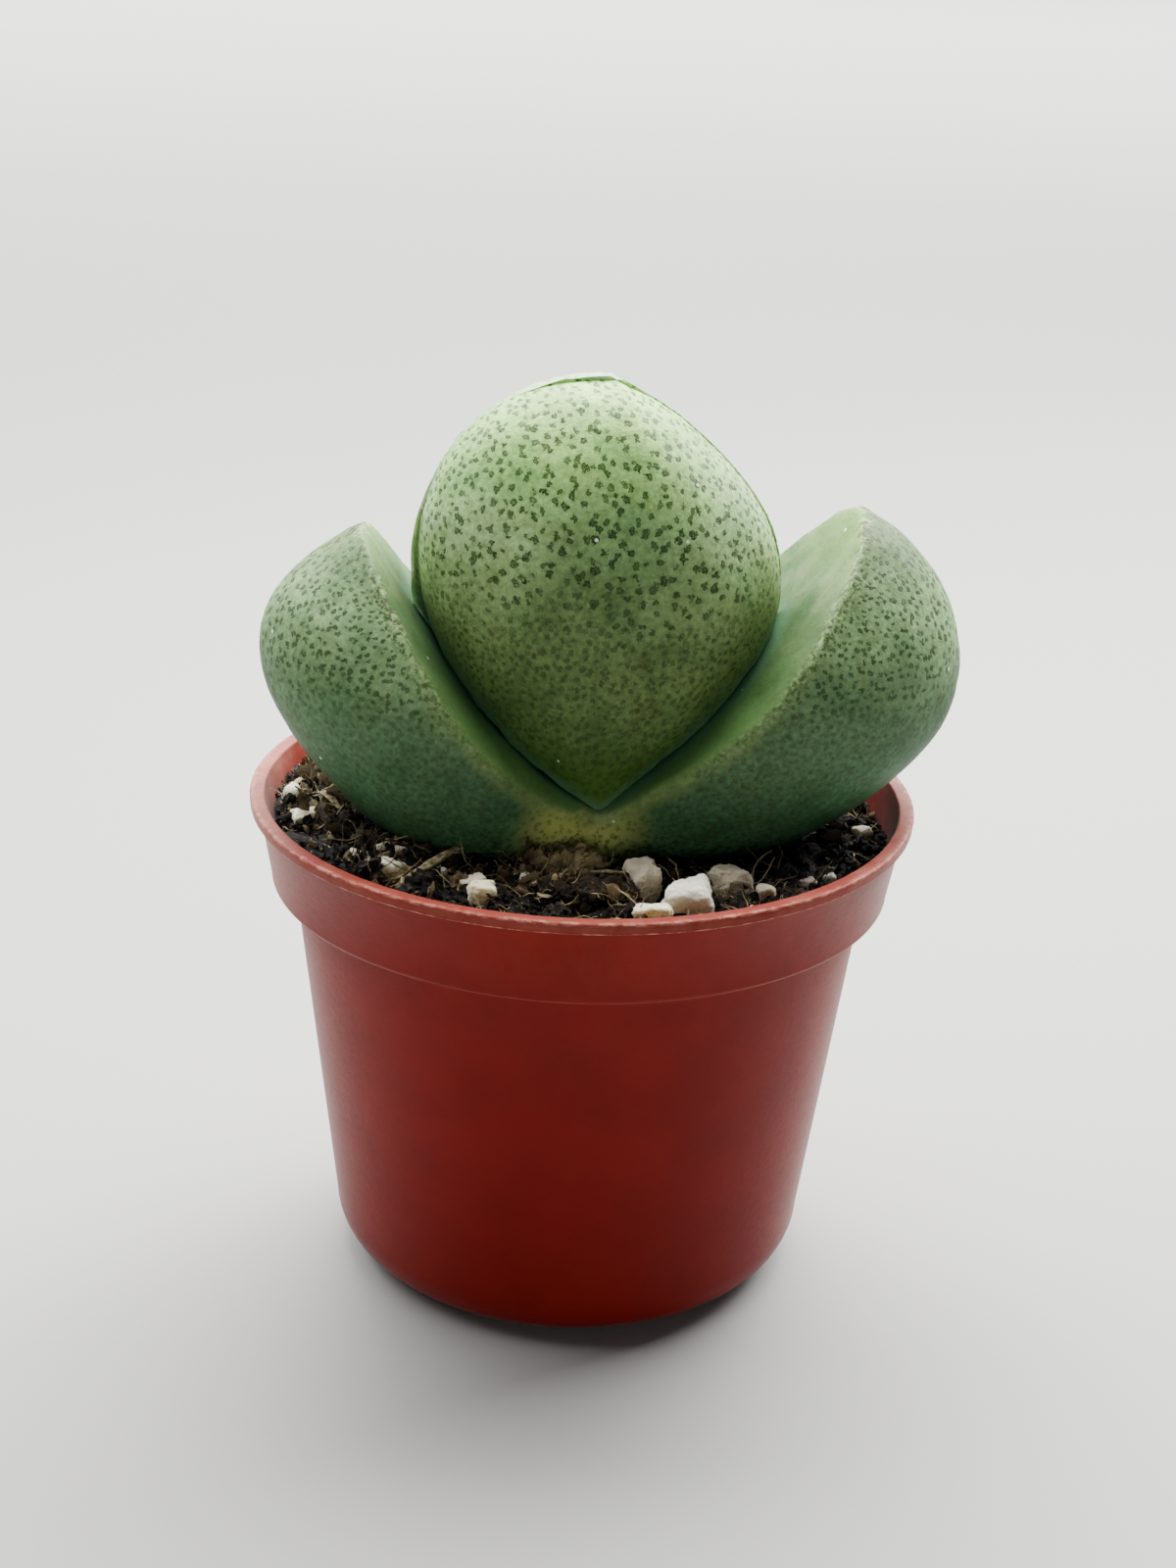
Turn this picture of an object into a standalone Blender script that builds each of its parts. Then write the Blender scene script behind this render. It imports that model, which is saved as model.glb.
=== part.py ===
"""Potted split rock: a Pleiospilos nelii of two fused leaf pairs in a small round plastic plant pot.

Sizes are in metres. The origin is the middle of the pot's base, +Z is up and the plant faces -Y.
"""

import math
import random
from typing import NamedTuple

import bmesh
import bpy
from mathutils import Vector, noise

# Room left between two pieces that touch
SEAT_GAP = 0.0003

# Pot, from the lip down
POT_HEIGHT = 0.0490
POT_SIDES = 56
LIP_RADIUS = 0.0325
LIP_WIDTH = 0.0015
LIP_HEIGHT = 0.0011
LIP_ROUND = 0.0003
COLLAR_TOP_RADIUS = 0.0316
COLLAR_FOOT_RADIUS = 0.0304
COLLAR_HEIGHT = 0.0087
STEP_DROP = 0.0014
BODY_TOP_RADIUS = 0.0279
BODY_FOOT_RADIUS = 0.0239
FOOT_ROUND = 0.0055
WALL = 0.0008
FLOOR = 0.0020

# Drain channel and holes in the pot's base
CHANNEL_OUTER_RADIUS = 0.0165
CHANNEL_INNER_RADIUS = 0.0085
CHANNEL_DEPTH = 0.0008
DRAIN_HOLES = 6
DRAIN_HOLE_RADIUS = 0.0023
DRAIN_HOLE_SIDES = 16

# Soil: its level below the rim in the middle, its slope down to +X and to +Y, and its unevenness
SOIL_SIDES = 56
SOIL_RINGS = 10
SOIL_DROP = 0.0028
SOIL_SLOPE = (0.040, 0.015)
SOIL_RELIEF = 0.0010
SOIL_RELIEF_SIZE = 0.0050
FINE_RELIEF_SHARE = 0.5
FINE_RELIEF_FREQUENCY = 2.3
SOIL_RING_CROWDING = 0.7
SOIL_WALL_GAP = 0.0004

# Crumbs of peat and lumps of perlite on the soil
CRUMBS = 32
CRUMB_RADIUS = (0.0008, 0.0018)
GRAINS = 8
GRAIN_RADIUS = (0.0007, 0.0012)
GRAIN_LIFT = 0.3
PERLITE_LIFT = 0.5
LUMP_CORNERS = (0.8, 1.1)
WALL_CLEARANCE = 1.3
SCATTER_SEED = 11
CLUMP_CENTRE = (0.0013, -0.0188)
CLUMP_REACH = (0.0035, 0.0020)
CLUMP_LUMPS = 9
CLUMP_RADIUS = (0.0015, 0.0023)
CLUMP_RISE = 0.0014
PLANT_FOOTPRINT = (0.0265, 0.0130)

# Perlite lumps that the photograph shows: x, y and radius
PERLITE_LUMPS = (
    (0.0098, -0.0222, 0.0025),
    (0.0066, -0.0257, 0.0016),
    (0.0140, -0.0172, 0.0021),
    (0.0058, -0.0180, 0.0017),
    (-0.0171, -0.0193, 0.0015),
    (-0.0091, -0.0240, 0.0012),
    (-0.0266, -0.0068, 0.0010),
    (-0.0272, 0.0095, 0.0012),
)

# The notch, where the fused outer pair is lowest between its leaves
NOTCH = Vector((0.0004, -0.0003, POT_HEIGHT + 0.0028))
PLANT_TURN = 5.7
NOTCH_ROUND = 0.0020
NOTCH_FAN = 8

# Sections of a leaf
LIP_RISE = 0.0008
LIP_SHARPNESS = 8.0
BACK_FULLNESS = 2.15
BACK_STEPS = 22
FACE_STEPS = 12
LEAF_STATIONS = 15

# Slow unevenness of the grown skin
WOBBLE = 0.00025
WOBBLE_SIZE = 0.014
WOBBLE_SEED = 5


class OuterLeaf(NamedTuple):
    """One leaf of the outer pair, measured along its inner face from the notch to the tip."""

    length: float
    rise_at_notch: float
    rise_midway: float
    rise_at_tip: float
    half_width: float
    notch_half_width: float
    widest_at: float
    tip_roundness: float
    depth: float
    notch_depth: float
    deepest_at: float
    tip_fullness: float


RIGHT_LEAF = OuterLeaf(
    length=0.0368,
    rise_at_notch=33,
    rise_midway=47,
    rise_at_tip=60,
    half_width=0.0170,
    notch_half_width=0.0130,
    widest_at=0.45,
    tip_roundness=1.65,
    depth=0.0190,
    notch_depth=0.0120,
    deepest_at=0.66,
    tip_fullness=1.85,
)
LEFT_LEAF = OuterLeaf(
    length=0.0337,
    rise_at_notch=20,
    rise_midway=52,
    rise_at_tip=57,
    half_width=0.0174,
    notch_half_width=0.0130,
    widest_at=0.38,
    tip_roundness=1.8,
    depth=0.0157,
    notch_depth=0.0120,
    deepest_at=0.55,
    tip_fullness=2.8,
)

# Root neck below the outer pair
NECK_RADIUS = 0.0055
NECK_TIP_RADIUS = 0.0030
NECK_TOP = -0.0080
NECK_BOTTOM = -0.0240
NECK_SIDES = 20


class InnerLeaf(NamedTuple):
    """One leaf of the inner pair, measured up from the notch. Side is -1 in front and 1 behind."""

    side: int
    height: float
    left: float
    right: float
    lean: float
    widest_at: float
    left_foot_shape: float
    right_foot_shape: float
    left_tip_shape: float
    right_tip_shape: float
    depth: float
    foot_depth: float
    deepest_at: float


FRONT_LEAF = InnerLeaf(
    side=-1,
    height=0.0379,
    left=0.0173,
    right=0.0172,
    lean=0.0010,
    widest_at=0.51,
    left_foot_shape=0.60,
    right_foot_shape=0.82,
    left_tip_shape=0.42,
    right_tip_shape=0.84,
    depth=0.0150,
    foot_depth=0.0125,
    deepest_at=0.38,
)
BACK_LEAF = InnerLeaf(
    side=1,
    height=0.0383,
    left=0.0176,
    right=0.0168,
    lean=0.0006,
    widest_at=0.51,
    left_foot_shape=0.62,
    right_foot_shape=0.82,
    left_tip_shape=0.50,
    right_tip_shape=0.95,
    depth=0.0150,
    foot_depth=0.0125,
    deepest_at=0.38,
)

INNER_STATIONS = 22
INNER_FOOT = -0.0010
FISSURE_HALF_WIDTH = 0.0003
FISSURE_FOOT_OVERLAP = 0.0012
INNER_DEPTH_ROUNDNESS = 2.0

# Surfaces: colour as an sRGB hex code, and roughness
POLYPROPYLENE = ("7a2214", 0.45)
PEAT = ("2a1e17", 0.95)
PERLITE = ("e4e1d4", 0.90)
OUTER_LEAF_SKIN = ("6f8a67", 0.55)
INNER_LEAF_SKIN = ("7d9a72", 0.55)

# Folds sharper than these angles in degrees stay sharp when a piece is shaded smooth
POT_CORNER = 35
FISSURE_CORNER = 50


def clear_scene():
    """Start from an empty scene."""
    for item in list(bpy.data.objects):
        bpy.data.objects.remove(item, do_unlink=True)


def linear_colour(code):
    """Turn a six-digit sRGB hex code into linear RGBA."""
    channels = [int(code[start:start + 2], 16) / 255 for start in (0, 2, 4)]
    linear = [c / 12.92 if c <= 0.04045 else ((c + 0.055) / 1.055) ** 2.4 for c in channels]
    return (*linear, 1.0)


def make_material(name, colour, roughness):
    """A plain surface of one colour."""
    material = bpy.data.materials.new(name)
    material.use_nodes = True
    surface = material.node_tree.nodes["Principled BSDF"]
    surface.inputs["Base Color"].default_value = linear_colour(colour)
    surface.inputs["Roughness"].default_value = roughness
    surface.inputs["Metallic"].default_value = 0.0
    material.diffuse_color = linear_colour(colour)
    return material


def make_object(name, mesh, material=None):
    """Turn an edited mesh into an object of the scene."""
    bmesh.ops.recalc_face_normals(mesh, faces=mesh.faces)
    data = bpy.data.meshes.new(name)
    mesh.to_mesh(data)
    mesh.free()
    item = bpy.data.objects.new(name, data)
    bpy.context.scene.collection.objects.link(item)
    if material:
        data.materials.append(material)
    return item


def apply_boolean(target, operation, operand):
    """Join an object or a collection of objects to the target, or cut it away, and remove it."""
    modifier = target.modifiers.new("join", "BOOLEAN")
    modifier.operation = operation
    modifier.solver = "EXACT"
    modifier.material_mode = "TRANSFER"
    if isinstance(operand, bpy.types.Collection):
        modifier.operand_type = "COLLECTION"
        modifier.collection = operand
        used = list(operand.objects)
    else:
        modifier.object = operand
        used = [operand]
    bpy.context.view_layer.objects.active = target
    bpy.ops.object.modifier_apply(modifier=modifier.name)
    for item in used:
        bpy.data.objects.remove(item, do_unlink=True)


def keep_largest_body(item):
    """Drop the loose scraps that a cut leaves, and keep the largest body."""
    mesh = bmesh.new()
    mesh.from_mesh(item.data)
    left = set(mesh.verts)
    bodies = []
    while left:
        body = set()
        front = [left.pop()]
        while front:
            vertex = front.pop()
            body.add(vertex)
            for edge in vertex.link_edges:
                other = edge.other_vert(vertex)
                if other in left:
                    left.remove(other)
                    front.append(other)
        bodies.append(body)
    bodies.sort(key=len)
    scraps = [vertex for body in bodies[:-1] for vertex in body]
    bmesh.ops.delete(mesh, geom=scraps, context="VERTS")
    mesh.to_mesh(item.data)
    mesh.free()


def arc(centre_r, centre_z, radius, start, end, steps):
    """Points of a round stretch of a profile, from one angle to another in degrees."""
    turns = [math.radians(start + (end - start) * step / steps) for step in range(steps + 1)]
    return [(centre_r + radius * math.cos(turn), centre_z + radius * math.sin(turn)) for turn in turns]


def lathe(name, profile, sides, material=None):
    """Turn a profile of (radius, height) points, which starts and ends on the axis, round +Z."""
    mesh = bmesh.new()
    points = [mesh.verts.new((radius, 0.0, height)) for radius, height in profile]
    edges = [mesh.edges.new(pair) for pair in zip(points, points[1:])]
    bmesh.ops.spin(
        mesh,
        geom=points + edges,
        cent=(0.0, 0.0, 0.0),
        axis=(0.0, 0.0, 1.0),
        angle=math.tau,
        steps=sides,
        use_merge=True,
    )
    bmesh.ops.remove_doubles(mesh, verts=mesh.verts, dist=0.000001)
    return make_object(name, mesh, material)


def inner_wall():
    """The pot's inner wall from the lip down to the floor."""
    step_top = POT_HEIGHT - COLLAR_HEIGHT
    foot = FOOT_ROUND - WALL
    return [
        (COLLAR_TOP_RADIUS - WALL, POT_HEIGHT - LIP_HEIGHT),
        (COLLAR_FOOT_RADIUS - WALL, step_top),
        (BODY_TOP_RADIUS - WALL, step_top - STEP_DROP),
        *arc(BODY_FOOT_RADIUS - FOOT_ROUND, FLOOR + foot, foot, 0, -90, 3),
    ]


def outer_wall():
    """The pot's outer wall from the lip down to the edge of its flat foot."""
    lip_foot = POT_HEIGHT - LIP_HEIGHT
    step_top = POT_HEIGHT - COLLAR_HEIGHT
    edge = LIP_RADIUS - LIP_ROUND
    return [
        *arc(edge, POT_HEIGHT - LIP_ROUND, LIP_ROUND, 90, 0, 2),
        *arc(edge, lip_foot + LIP_ROUND, LIP_ROUND, 0, -90, 1),
        (COLLAR_TOP_RADIUS, lip_foot),
        (COLLAR_FOOT_RADIUS, step_top + LIP_ROUND),
        (COLLAR_FOOT_RADIUS - LIP_ROUND, step_top),
        (BODY_TOP_RADIUS + LIP_ROUND, step_top - STEP_DROP + LIP_ROUND),
        (BODY_TOP_RADIUS, step_top - STEP_DROP),
        *arc(BODY_FOOT_RADIUS - FOOT_ROUND, FOOT_ROUND, FOOT_ROUND, 0, -90, 4),
    ]


def base_underside():
    """The flat foot, the shallow drain channel in it and the flat middle."""
    slope = CHANNEL_DEPTH / 2
    return [
        (CHANNEL_OUTER_RADIUS, 0.0),
        (CHANNEL_OUTER_RADIUS - slope, CHANNEL_DEPTH),
        (CHANNEL_INNER_RADIUS + slope, CHANNEL_DEPTH),
        (CHANNEL_INNER_RADIUS, 0.0),
        (0.0, 0.0),
    ]


def drain_hole_cutters():
    """Upright pins through the drain channel, one for each hole."""
    group = bpy.data.collections.new("drain_holes")
    bpy.context.scene.collection.children.link(group)
    ring = (CHANNEL_OUTER_RADIUS + CHANNEL_INNER_RADIUS) / 2
    for number in range(DRAIN_HOLES):
        turn = math.tau * (number + 0.5) / DRAIN_HOLES
        mesh = bmesh.new()
        bmesh.ops.create_cone(
            mesh,
            cap_ends=True,
            segments=DRAIN_HOLE_SIDES,
            radius1=DRAIN_HOLE_RADIUS,
            radius2=DRAIN_HOLE_RADIUS,
            depth=4 * FLOOR,
        )
        bmesh.ops.translate(mesh, verts=mesh.verts, vec=(ring * math.cos(turn), ring * math.sin(turn), 0.0))
        cutter = make_object(f"drain_hole_{number}", mesh)
        bpy.context.scene.collection.objects.unlink(cutter)
        group.objects.link(cutter)
    return group


def make_pot(material):
    """The plastic pot: lip, collar, step, tapered body, rounded foot and drained base."""
    lip_inner = LIP_RADIUS - LIP_WIDTH
    profile = [
        (0.0, FLOOR),
        *reversed(inner_wall()),
        (lip_inner, POT_HEIGHT - LIP_ROUND),
        (lip_inner + LIP_ROUND, POT_HEIGHT),
        *outer_wall(),
        *base_underside(),
    ]
    pot = lathe("pot", profile, POT_SIDES, material)
    holes = drain_hole_cutters()
    apply_boolean(pot, "DIFFERENCE", holes)
    bpy.data.collections.remove(holes)
    pot.data.shade_smooth()
    pot.data.set_sharp_from_angle(angle=math.radians(POT_CORNER))
    return pot


def swell(along, start, peak_at, roundness):
    """Rise from a start value to 1 at the peak, then fall to 0 at the end with a rounded shoulder."""
    if along < peak_at:
        return start + (1.0 - start) * math.sin(math.pi / 2 * along / peak_at)
    fall = (along - peak_at) / (1.0 - peak_at)
    return max(0.0, 1.0 - fall ** roundness) ** (1.0 / roundness)


def lip_rise(depth):
    """How far a leaf's face stands forward of its lips."""
    return min(LIP_RISE, depth / 4)


def leaf_section(left, right, depth, grow):
    """Closed outline of a leaf cut across: (across, outward) points, the round back first, then the face."""
    outline = []
    power = 2.0 / BACK_FULLNESS
    for step in range(BACK_STEPS + 1):
        turn = math.pi * step / BACK_STEPS
        reach = -math.copysign(abs(math.cos(turn)) ** power, math.cos(turn))
        width = left if reach < 0 else right
        outline.append((reach * (width + grow), (depth + grow) * math.sin(turn) ** power))
    rise = lip_rise(depth) + grow
    for step in range(1, FACE_STEPS):
        reach = math.cos(math.pi * step / FACE_STEPS)
        width = left if reach < 0 else right
        lift = rise * (1.0 - abs(reach) ** LIP_SHARPNESS) ** 0.5
        outline.append((reach * (width + grow), -lift))
    return outline


def skin_rings(mesh, rings, start_pole, end_pole):
    """Skin closed rings of points in turn and close both ends on a single point."""
    loops = [[mesh.verts.new(point) for point in ring] for ring in rings]
    count = len(loops[0])
    for near, far in zip(loops, loops[1:]):
        for step in range(count):
            after = (step + 1) % count
            mesh.faces.new((near[step], near[after], far[after], far[step]))
    for loop, pole in ((loops[0], start_pole), (loops[-1], end_pole)):
        tip = mesh.verts.new(pole)
        for step in range(count):
            mesh.faces.new((loop[step], loop[(step + 1) % count], tip))


def wobble(point):
    """The slow unevenness of a grown skin at a point."""
    return point + WOBBLE * Vector(noise.noise_vector(point / WOBBLE_SIZE))


def face_rise(leaf, along):
    """Angle of the inner face above level, through its values at the notch, midway and at the tip."""
    return math.radians(
        leaf.rise_at_notch * (1 - along) * (1 - 2 * along)
        + leaf.rise_midway * 4 * along * (1 - along)
        + leaf.rise_at_tip * along * (2 * along - 1)
    )


def outer_leaf_stations(leaf, side):
    """Sections of one outer leaf from the notch to the tip, and the tip: side is -1 left and 1 right."""
    stations = []
    x = side * NOTCH_ROUND * math.sin(face_rise(leaf, 0.0))
    z = NOTCH_ROUND * (1.0 - math.cos(face_rise(leaf, 0.0)))
    before = 0.0
    for number in range(LEAF_STATIONS + 1):
        along = math.sin(math.pi / 2 * number / LEAF_STATIONS)
        rise = face_rise(leaf, (before + along) / 2)
        x += side * leaf.length * (along - before) * math.cos(rise)
        z += leaf.length * (along - before) * math.sin(rise)
        before = along
        start = leaf.notch_half_width / leaf.half_width
        width = leaf.half_width * swell(along, start, leaf.widest_at, leaf.tip_roundness)
        start = leaf.notch_depth / leaf.depth
        depth = leaf.depth * swell(along, start, leaf.deepest_at, leaf.tip_fullness)
        stations.append((x, z, side * face_rise(leaf, along), width, depth))
    return stations[:-1], stations[-1]


def notch_stations():
    """Sections that fan round the notch, between the first sections of the two leaves."""
    start = -face_rise(LEFT_LEAF, 0.0)
    end = face_rise(RIGHT_LEAF, 0.0)
    stations = []
    for step in range(1, NOTCH_FAN):
        rise = start + (end - start) * step / NOTCH_FAN
        x = NOTCH_ROUND * math.sin(rise)
        z = NOTCH_ROUND * (1.0 - math.cos(rise))
        stations.append((x, z, rise, RIGHT_LEAF.notch_half_width, RIGHT_LEAF.notch_depth))
    return stations


def place_on_plant(body):
    """Stand a body on the notch, turned as the plant is."""
    body.location = NOTCH
    body.rotation_euler.z = math.radians(PLANT_TURN)
    bpy.context.view_layer.update()
    return body


def outer_pair_body(name, grow, material=None):
    """The fused outer leaves and their root neck, grown by a distance all round."""
    left, left_tip = outer_leaf_stations(LEFT_LEAF, -1)
    right, right_tip = outer_leaf_stations(RIGHT_LEAF, 1)
    rings = []
    for x, z, rise, width, depth in [*reversed(left), *notch_stations(), *right]:
        outward = Vector((math.sin(rise), 0.0, -math.cos(rise)))
        middle = Vector((x, 0.0, z - LIP_RISE))
        section = leaf_section(width, width, depth, grow)
        rings.append([wobble(middle + Vector((0.0, across, 0.0)) + out * outward) for across, out in section])
    poles = []
    for x, z, rise, width, depth in (left_tip, right_tip):
        ahead = Vector((math.cos(rise), 0.0, math.sin(rise))) * math.copysign(grow, x)
        poles.append(wobble(Vector((x, 0.0, z - LIP_RISE)) + ahead))
    mesh = bmesh.new()
    skin_rings(mesh, rings, *poles)
    body = make_object(name, mesh, material)
    neck = lathe(
        name + "_neck",
        [
            (0.0, NECK_TOP),
            (NECK_RADIUS + grow, NECK_TOP),
            (NECK_TIP_RADIUS + grow, NECK_BOTTOM - grow),
            (0.0, NECK_BOTTOM - grow),
        ],
        NECK_SIDES,
        material,
    )
    apply_boolean(body, "UNION", neck)
    return place_on_plant(body)


def inner_leaf_body(leaf, material):
    """One inner leaf with a flat face on the fissure and a round back, from its foot to its tip."""
    rings = []
    for number in range(1, INNER_STATIONS):
        along = 0.5 - 0.5 * math.cos(math.pi * number / INNER_STATIONS)
        climb = along / leaf.widest_at
        fall = (1 - along) / (1 - leaf.widest_at)
        left = leaf.left * climb ** leaf.left_foot_shape * fall ** leaf.left_tip_shape
        right = leaf.right * climb ** leaf.right_foot_shape * fall ** leaf.right_tip_shape
        start = leaf.foot_depth / leaf.depth
        depth = leaf.depth * swell(along, start, leaf.deepest_at, INNER_DEPTH_ROUNDNESS)
        face = FISSURE_HALF_WIDTH * along - FISSURE_FOOT_OVERLAP * (1 - along)
        middle = Vector((leaf.lean * along, leaf.side * face, INNER_FOOT + (leaf.height - INNER_FOOT) * along))
        section = leaf_section(left, right, depth, 0.0)
        rise = lip_rise(depth)
        rings.append([wobble(middle + Vector((across, leaf.side * (out + rise), 0.0))) for across, out in section])
    foot_pole = wobble(Vector((0.0, leaf.side * leaf.foot_depth / 2, INNER_FOOT)))
    tip_pole = wobble(Vector((leaf.lean, leaf.side * FISSURE_HALF_WIDTH, leaf.height)))
    mesh = bmesh.new()
    skin_rings(mesh, rings, foot_pole, tip_pole)
    return place_on_plant(make_object(f"inner_leaf_{leaf.side}", mesh, material))


def make_outer_pair(material):
    """The old leaves, left and right, grown together at the base."""
    pair = outer_pair_body("outer_leaf_pair", 0.0, material)
    pair.data.shade_smooth()
    return pair


def make_inner_pair(material):
    """The young leaves, front and back, fused at the foot and seated between the outer leaves."""
    pair = inner_leaf_body(FRONT_LEAF, material)
    pair.name = "inner_leaf_pair"
    pair.data.name = "inner_leaf_pair"
    apply_boolean(pair, "UNION", inner_leaf_body(BACK_LEAF, material))
    apply_boolean(pair, "DIFFERENCE", outer_pair_body("seat", SEAT_GAP))
    keep_largest_body(pair)
    pair.data.shade_smooth()
    pair.data.set_sharp_from_angle(angle=math.radians(FISSURE_CORNER))
    return pair


def soil_height(x, y):
    """Level of the rough soil at a place."""
    place = Vector((x / SOIL_RELIEF_SIZE, y / SOIL_RELIEF_SIZE, 0.0))
    rough = noise.noise(place) + FINE_RELIEF_SHARE * noise.noise(place * FINE_RELIEF_FREQUENCY)
    slope = SOIL_SLOPE[0] * x + SOIL_SLOPE[1] * y
    return POT_HEIGHT - SOIL_DROP - slope + SOIL_RELIEF * rough


def soil_ball(material):
    """The root ball that fills the pot, with a rough top."""
    wall = [(radius - SOIL_WALL_GAP, height + SEAT_GAP) for radius, height in inner_wall()]
    top_radius = wall[0][0]
    level = POT_HEIGHT - SOIL_DROP
    reaches = [(1 - ring / SOIL_RINGS) ** SOIL_RING_CROWDING for ring in range(SOIL_RINGS, 0, -1)]
    top = [(top_radius * reach, level) for reach in reaches]
    slope = (wall[0][0] - wall[1][0]) / (wall[0][1] - wall[1][1])
    edge = (wall[0][0] - slope * (wall[0][1] - level), level)
    profile = [*top, edge, *wall[1:], (0.0, wall[-1][1])]
    ball = lathe("soil", profile, SOIL_SIDES, material)
    for vertex in ball.data.vertices:
        place = vertex.co
        if abs(place.z - level) < SEAT_GAP:
            place.z = soil_height(place.x, place.y)
    return ball


def lump(group, name, place, size, roll, material):
    """A small angular lump sunk into the soil, with its corners drawn in or out at random."""
    mesh = bmesh.new()
    bmesh.ops.create_icosphere(mesh, subdivisions=1, radius=1.0)
    for vertex in mesh.verts:
        vertex.co *= roll.uniform(*LUMP_CORNERS)
    bmesh.ops.scale(mesh, verts=mesh.verts, vec=size)
    bmesh.ops.translate(mesh, verts=mesh.verts, vec=place)
    item = make_object(name, mesh, material)
    bpy.context.scene.collection.objects.unlink(item)
    group.objects.link(item)


def free_place(roll, margin):
    """A random place on the soil between the plant and the wall."""
    reach = COLLAR_FOOT_RADIUS - WALL - SOIL_WALL_GAP - margin
    while True:
        x = roll.uniform(-reach, reach)
        y = roll.uniform(-reach, reach)
        clear = math.hypot(x / PLANT_FOOTPRINT[0], y / PLANT_FOOTPRINT[1]) > 1.0
        if clear and math.hypot(x, y) < reach:
            return x, y


def scatter(group, soil_material, perlite_material):
    """Crumbs, the fibrous clump and the perlite lumps, by a seeded rule."""
    roll = random.Random(SCATTER_SEED)
    for number in range(CRUMBS):
        radius = roll.uniform(*CRUMB_RADIUS)
        x, y = free_place(roll, WALL_CLEARANCE * radius)
        size = [radius * roll.uniform(0.8, 1.2) for axis in range(3)]
        lump(group, f"crumb_{number}", Vector((x, y, soil_height(x, y))), size, roll, soil_material)
    for number in range(CLUMP_LUMPS):
        turn = math.tau * number / CLUMP_LUMPS
        x = CLUMP_CENTRE[0] + CLUMP_REACH[0] * math.cos(turn)
        y = CLUMP_CENTRE[1] + CLUMP_REACH[1] * math.sin(turn)
        radius = roll.uniform(*CLUMP_RADIUS)
        place = Vector((x, y, soil_height(x, y) + CLUMP_RISE))
        lump(group, f"clump_{number}", place, [radius] * 3, roll, soil_material)
    for number, (x, y, radius) in enumerate(PERLITE_LUMPS):
        place = Vector((x, y, soil_height(x, y) + PERLITE_LIFT * radius))
        size = [radius * roll.uniform(0.85, 1.15) for axis in range(3)]
        lump(group, f"perlite_{number}", place, size, roll, perlite_material)
    for number in range(GRAINS):
        radius = roll.uniform(*GRAIN_RADIUS)
        x, y = free_place(roll, WALL_CLEARANCE * radius)
        place = Vector((x, y, soil_height(x, y) + GRAIN_LIFT * radius))
        lump(group, f"grain_{number}", place, [radius] * 3, roll, perlite_material)


def make_soil(soil_material, perlite_material):
    """The soil with its crumbs and perlite, and the hole in which the plant stands."""
    soil = soil_ball(soil_material)
    group = bpy.data.collections.new("scatter")
    bpy.context.scene.collection.children.link(group)
    scatter(group, soil_material, perlite_material)
    apply_boolean(soil, "UNION", group)
    bpy.data.collections.remove(group)
    apply_boolean(soil, "DIFFERENCE", outer_pair_body("plant_hole", SEAT_GAP))
    keep_largest_body(soil)
    return soil


def build():
    """Model the pot, the soil and the two leaf pairs under one parent."""
    clear_scene()
    noise.seed_set(WOBBLE_SEED)
    parent = bpy.data.objects.new("potted_split_rock", None)
    bpy.context.scene.collection.objects.link(parent)
    pieces = [
        make_pot(make_material("moulded_polypropylene", *POLYPROPYLENE)),
        make_soil(make_material("peat", *PEAT), make_material("perlite", *PERLITE)),
        make_outer_pair(make_material("outer_leaf_skin", *OUTER_LEAF_SKIN)),
        make_inner_pair(make_material("inner_leaf_skin", *INNER_LEAF_SKIN)),
    ]
    for piece in pieces:
        piece.parent = parent


build()
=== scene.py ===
"""Potted split rock: the looks of a small Pleiospilos nelii in a moulded plastic pot.

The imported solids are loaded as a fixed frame. Finer pieces of the same form stand for them here.
Lengths are in metres, and patterns are sized in millimetres.
"""

import math
import random

import bpy
from mathutils import Euler, Matrix, Vector
from mathutils.bvhtree import BVHTree
from mathutils.kdtree import KDTree


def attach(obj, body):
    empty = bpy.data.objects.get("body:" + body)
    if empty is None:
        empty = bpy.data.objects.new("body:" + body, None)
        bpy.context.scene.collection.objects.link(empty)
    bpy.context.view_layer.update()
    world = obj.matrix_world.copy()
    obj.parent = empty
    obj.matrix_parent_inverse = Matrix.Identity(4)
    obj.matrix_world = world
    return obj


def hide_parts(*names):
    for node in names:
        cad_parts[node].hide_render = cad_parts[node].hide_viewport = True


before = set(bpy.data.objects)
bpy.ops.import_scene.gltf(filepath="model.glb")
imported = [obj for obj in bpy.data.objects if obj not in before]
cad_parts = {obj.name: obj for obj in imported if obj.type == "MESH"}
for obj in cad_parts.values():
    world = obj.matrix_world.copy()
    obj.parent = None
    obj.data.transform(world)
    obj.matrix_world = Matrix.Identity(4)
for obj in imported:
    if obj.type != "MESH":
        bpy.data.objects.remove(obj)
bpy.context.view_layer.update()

MM = 0.001

# Pot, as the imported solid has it
POT_HEIGHT = 0.0490
POT_SIDES = 320
LIP_RADIUS = 0.0325
LIP_INNER_RADIUS = 0.0310
LIP_HEIGHT = 0.0011
COLLAR_TOP_RADIUS = 0.0316
COLLAR_FOOT_RADIUS = 0.0304
COLLAR_FOOT = POT_HEIGHT - 0.0087
STEP_FOOT = COLLAR_FOOT - 0.0014
BODY_TOP_RADIUS = 0.0279
BODY_FOOT_RADIUS = 0.0239
FOOT_ROUND = 0.0055
WALL = 0.0008
FLOOR = 0.0020
CHANNEL_OUTER_RADIUS = 0.0165
CHANNEL_INNER_RADIUS = 0.0085
CHANNEL_DEPTH = 0.0008
DRAIN_HOLES = 6
DRAIN_HOLE_RADIUS = 0.0023

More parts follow.
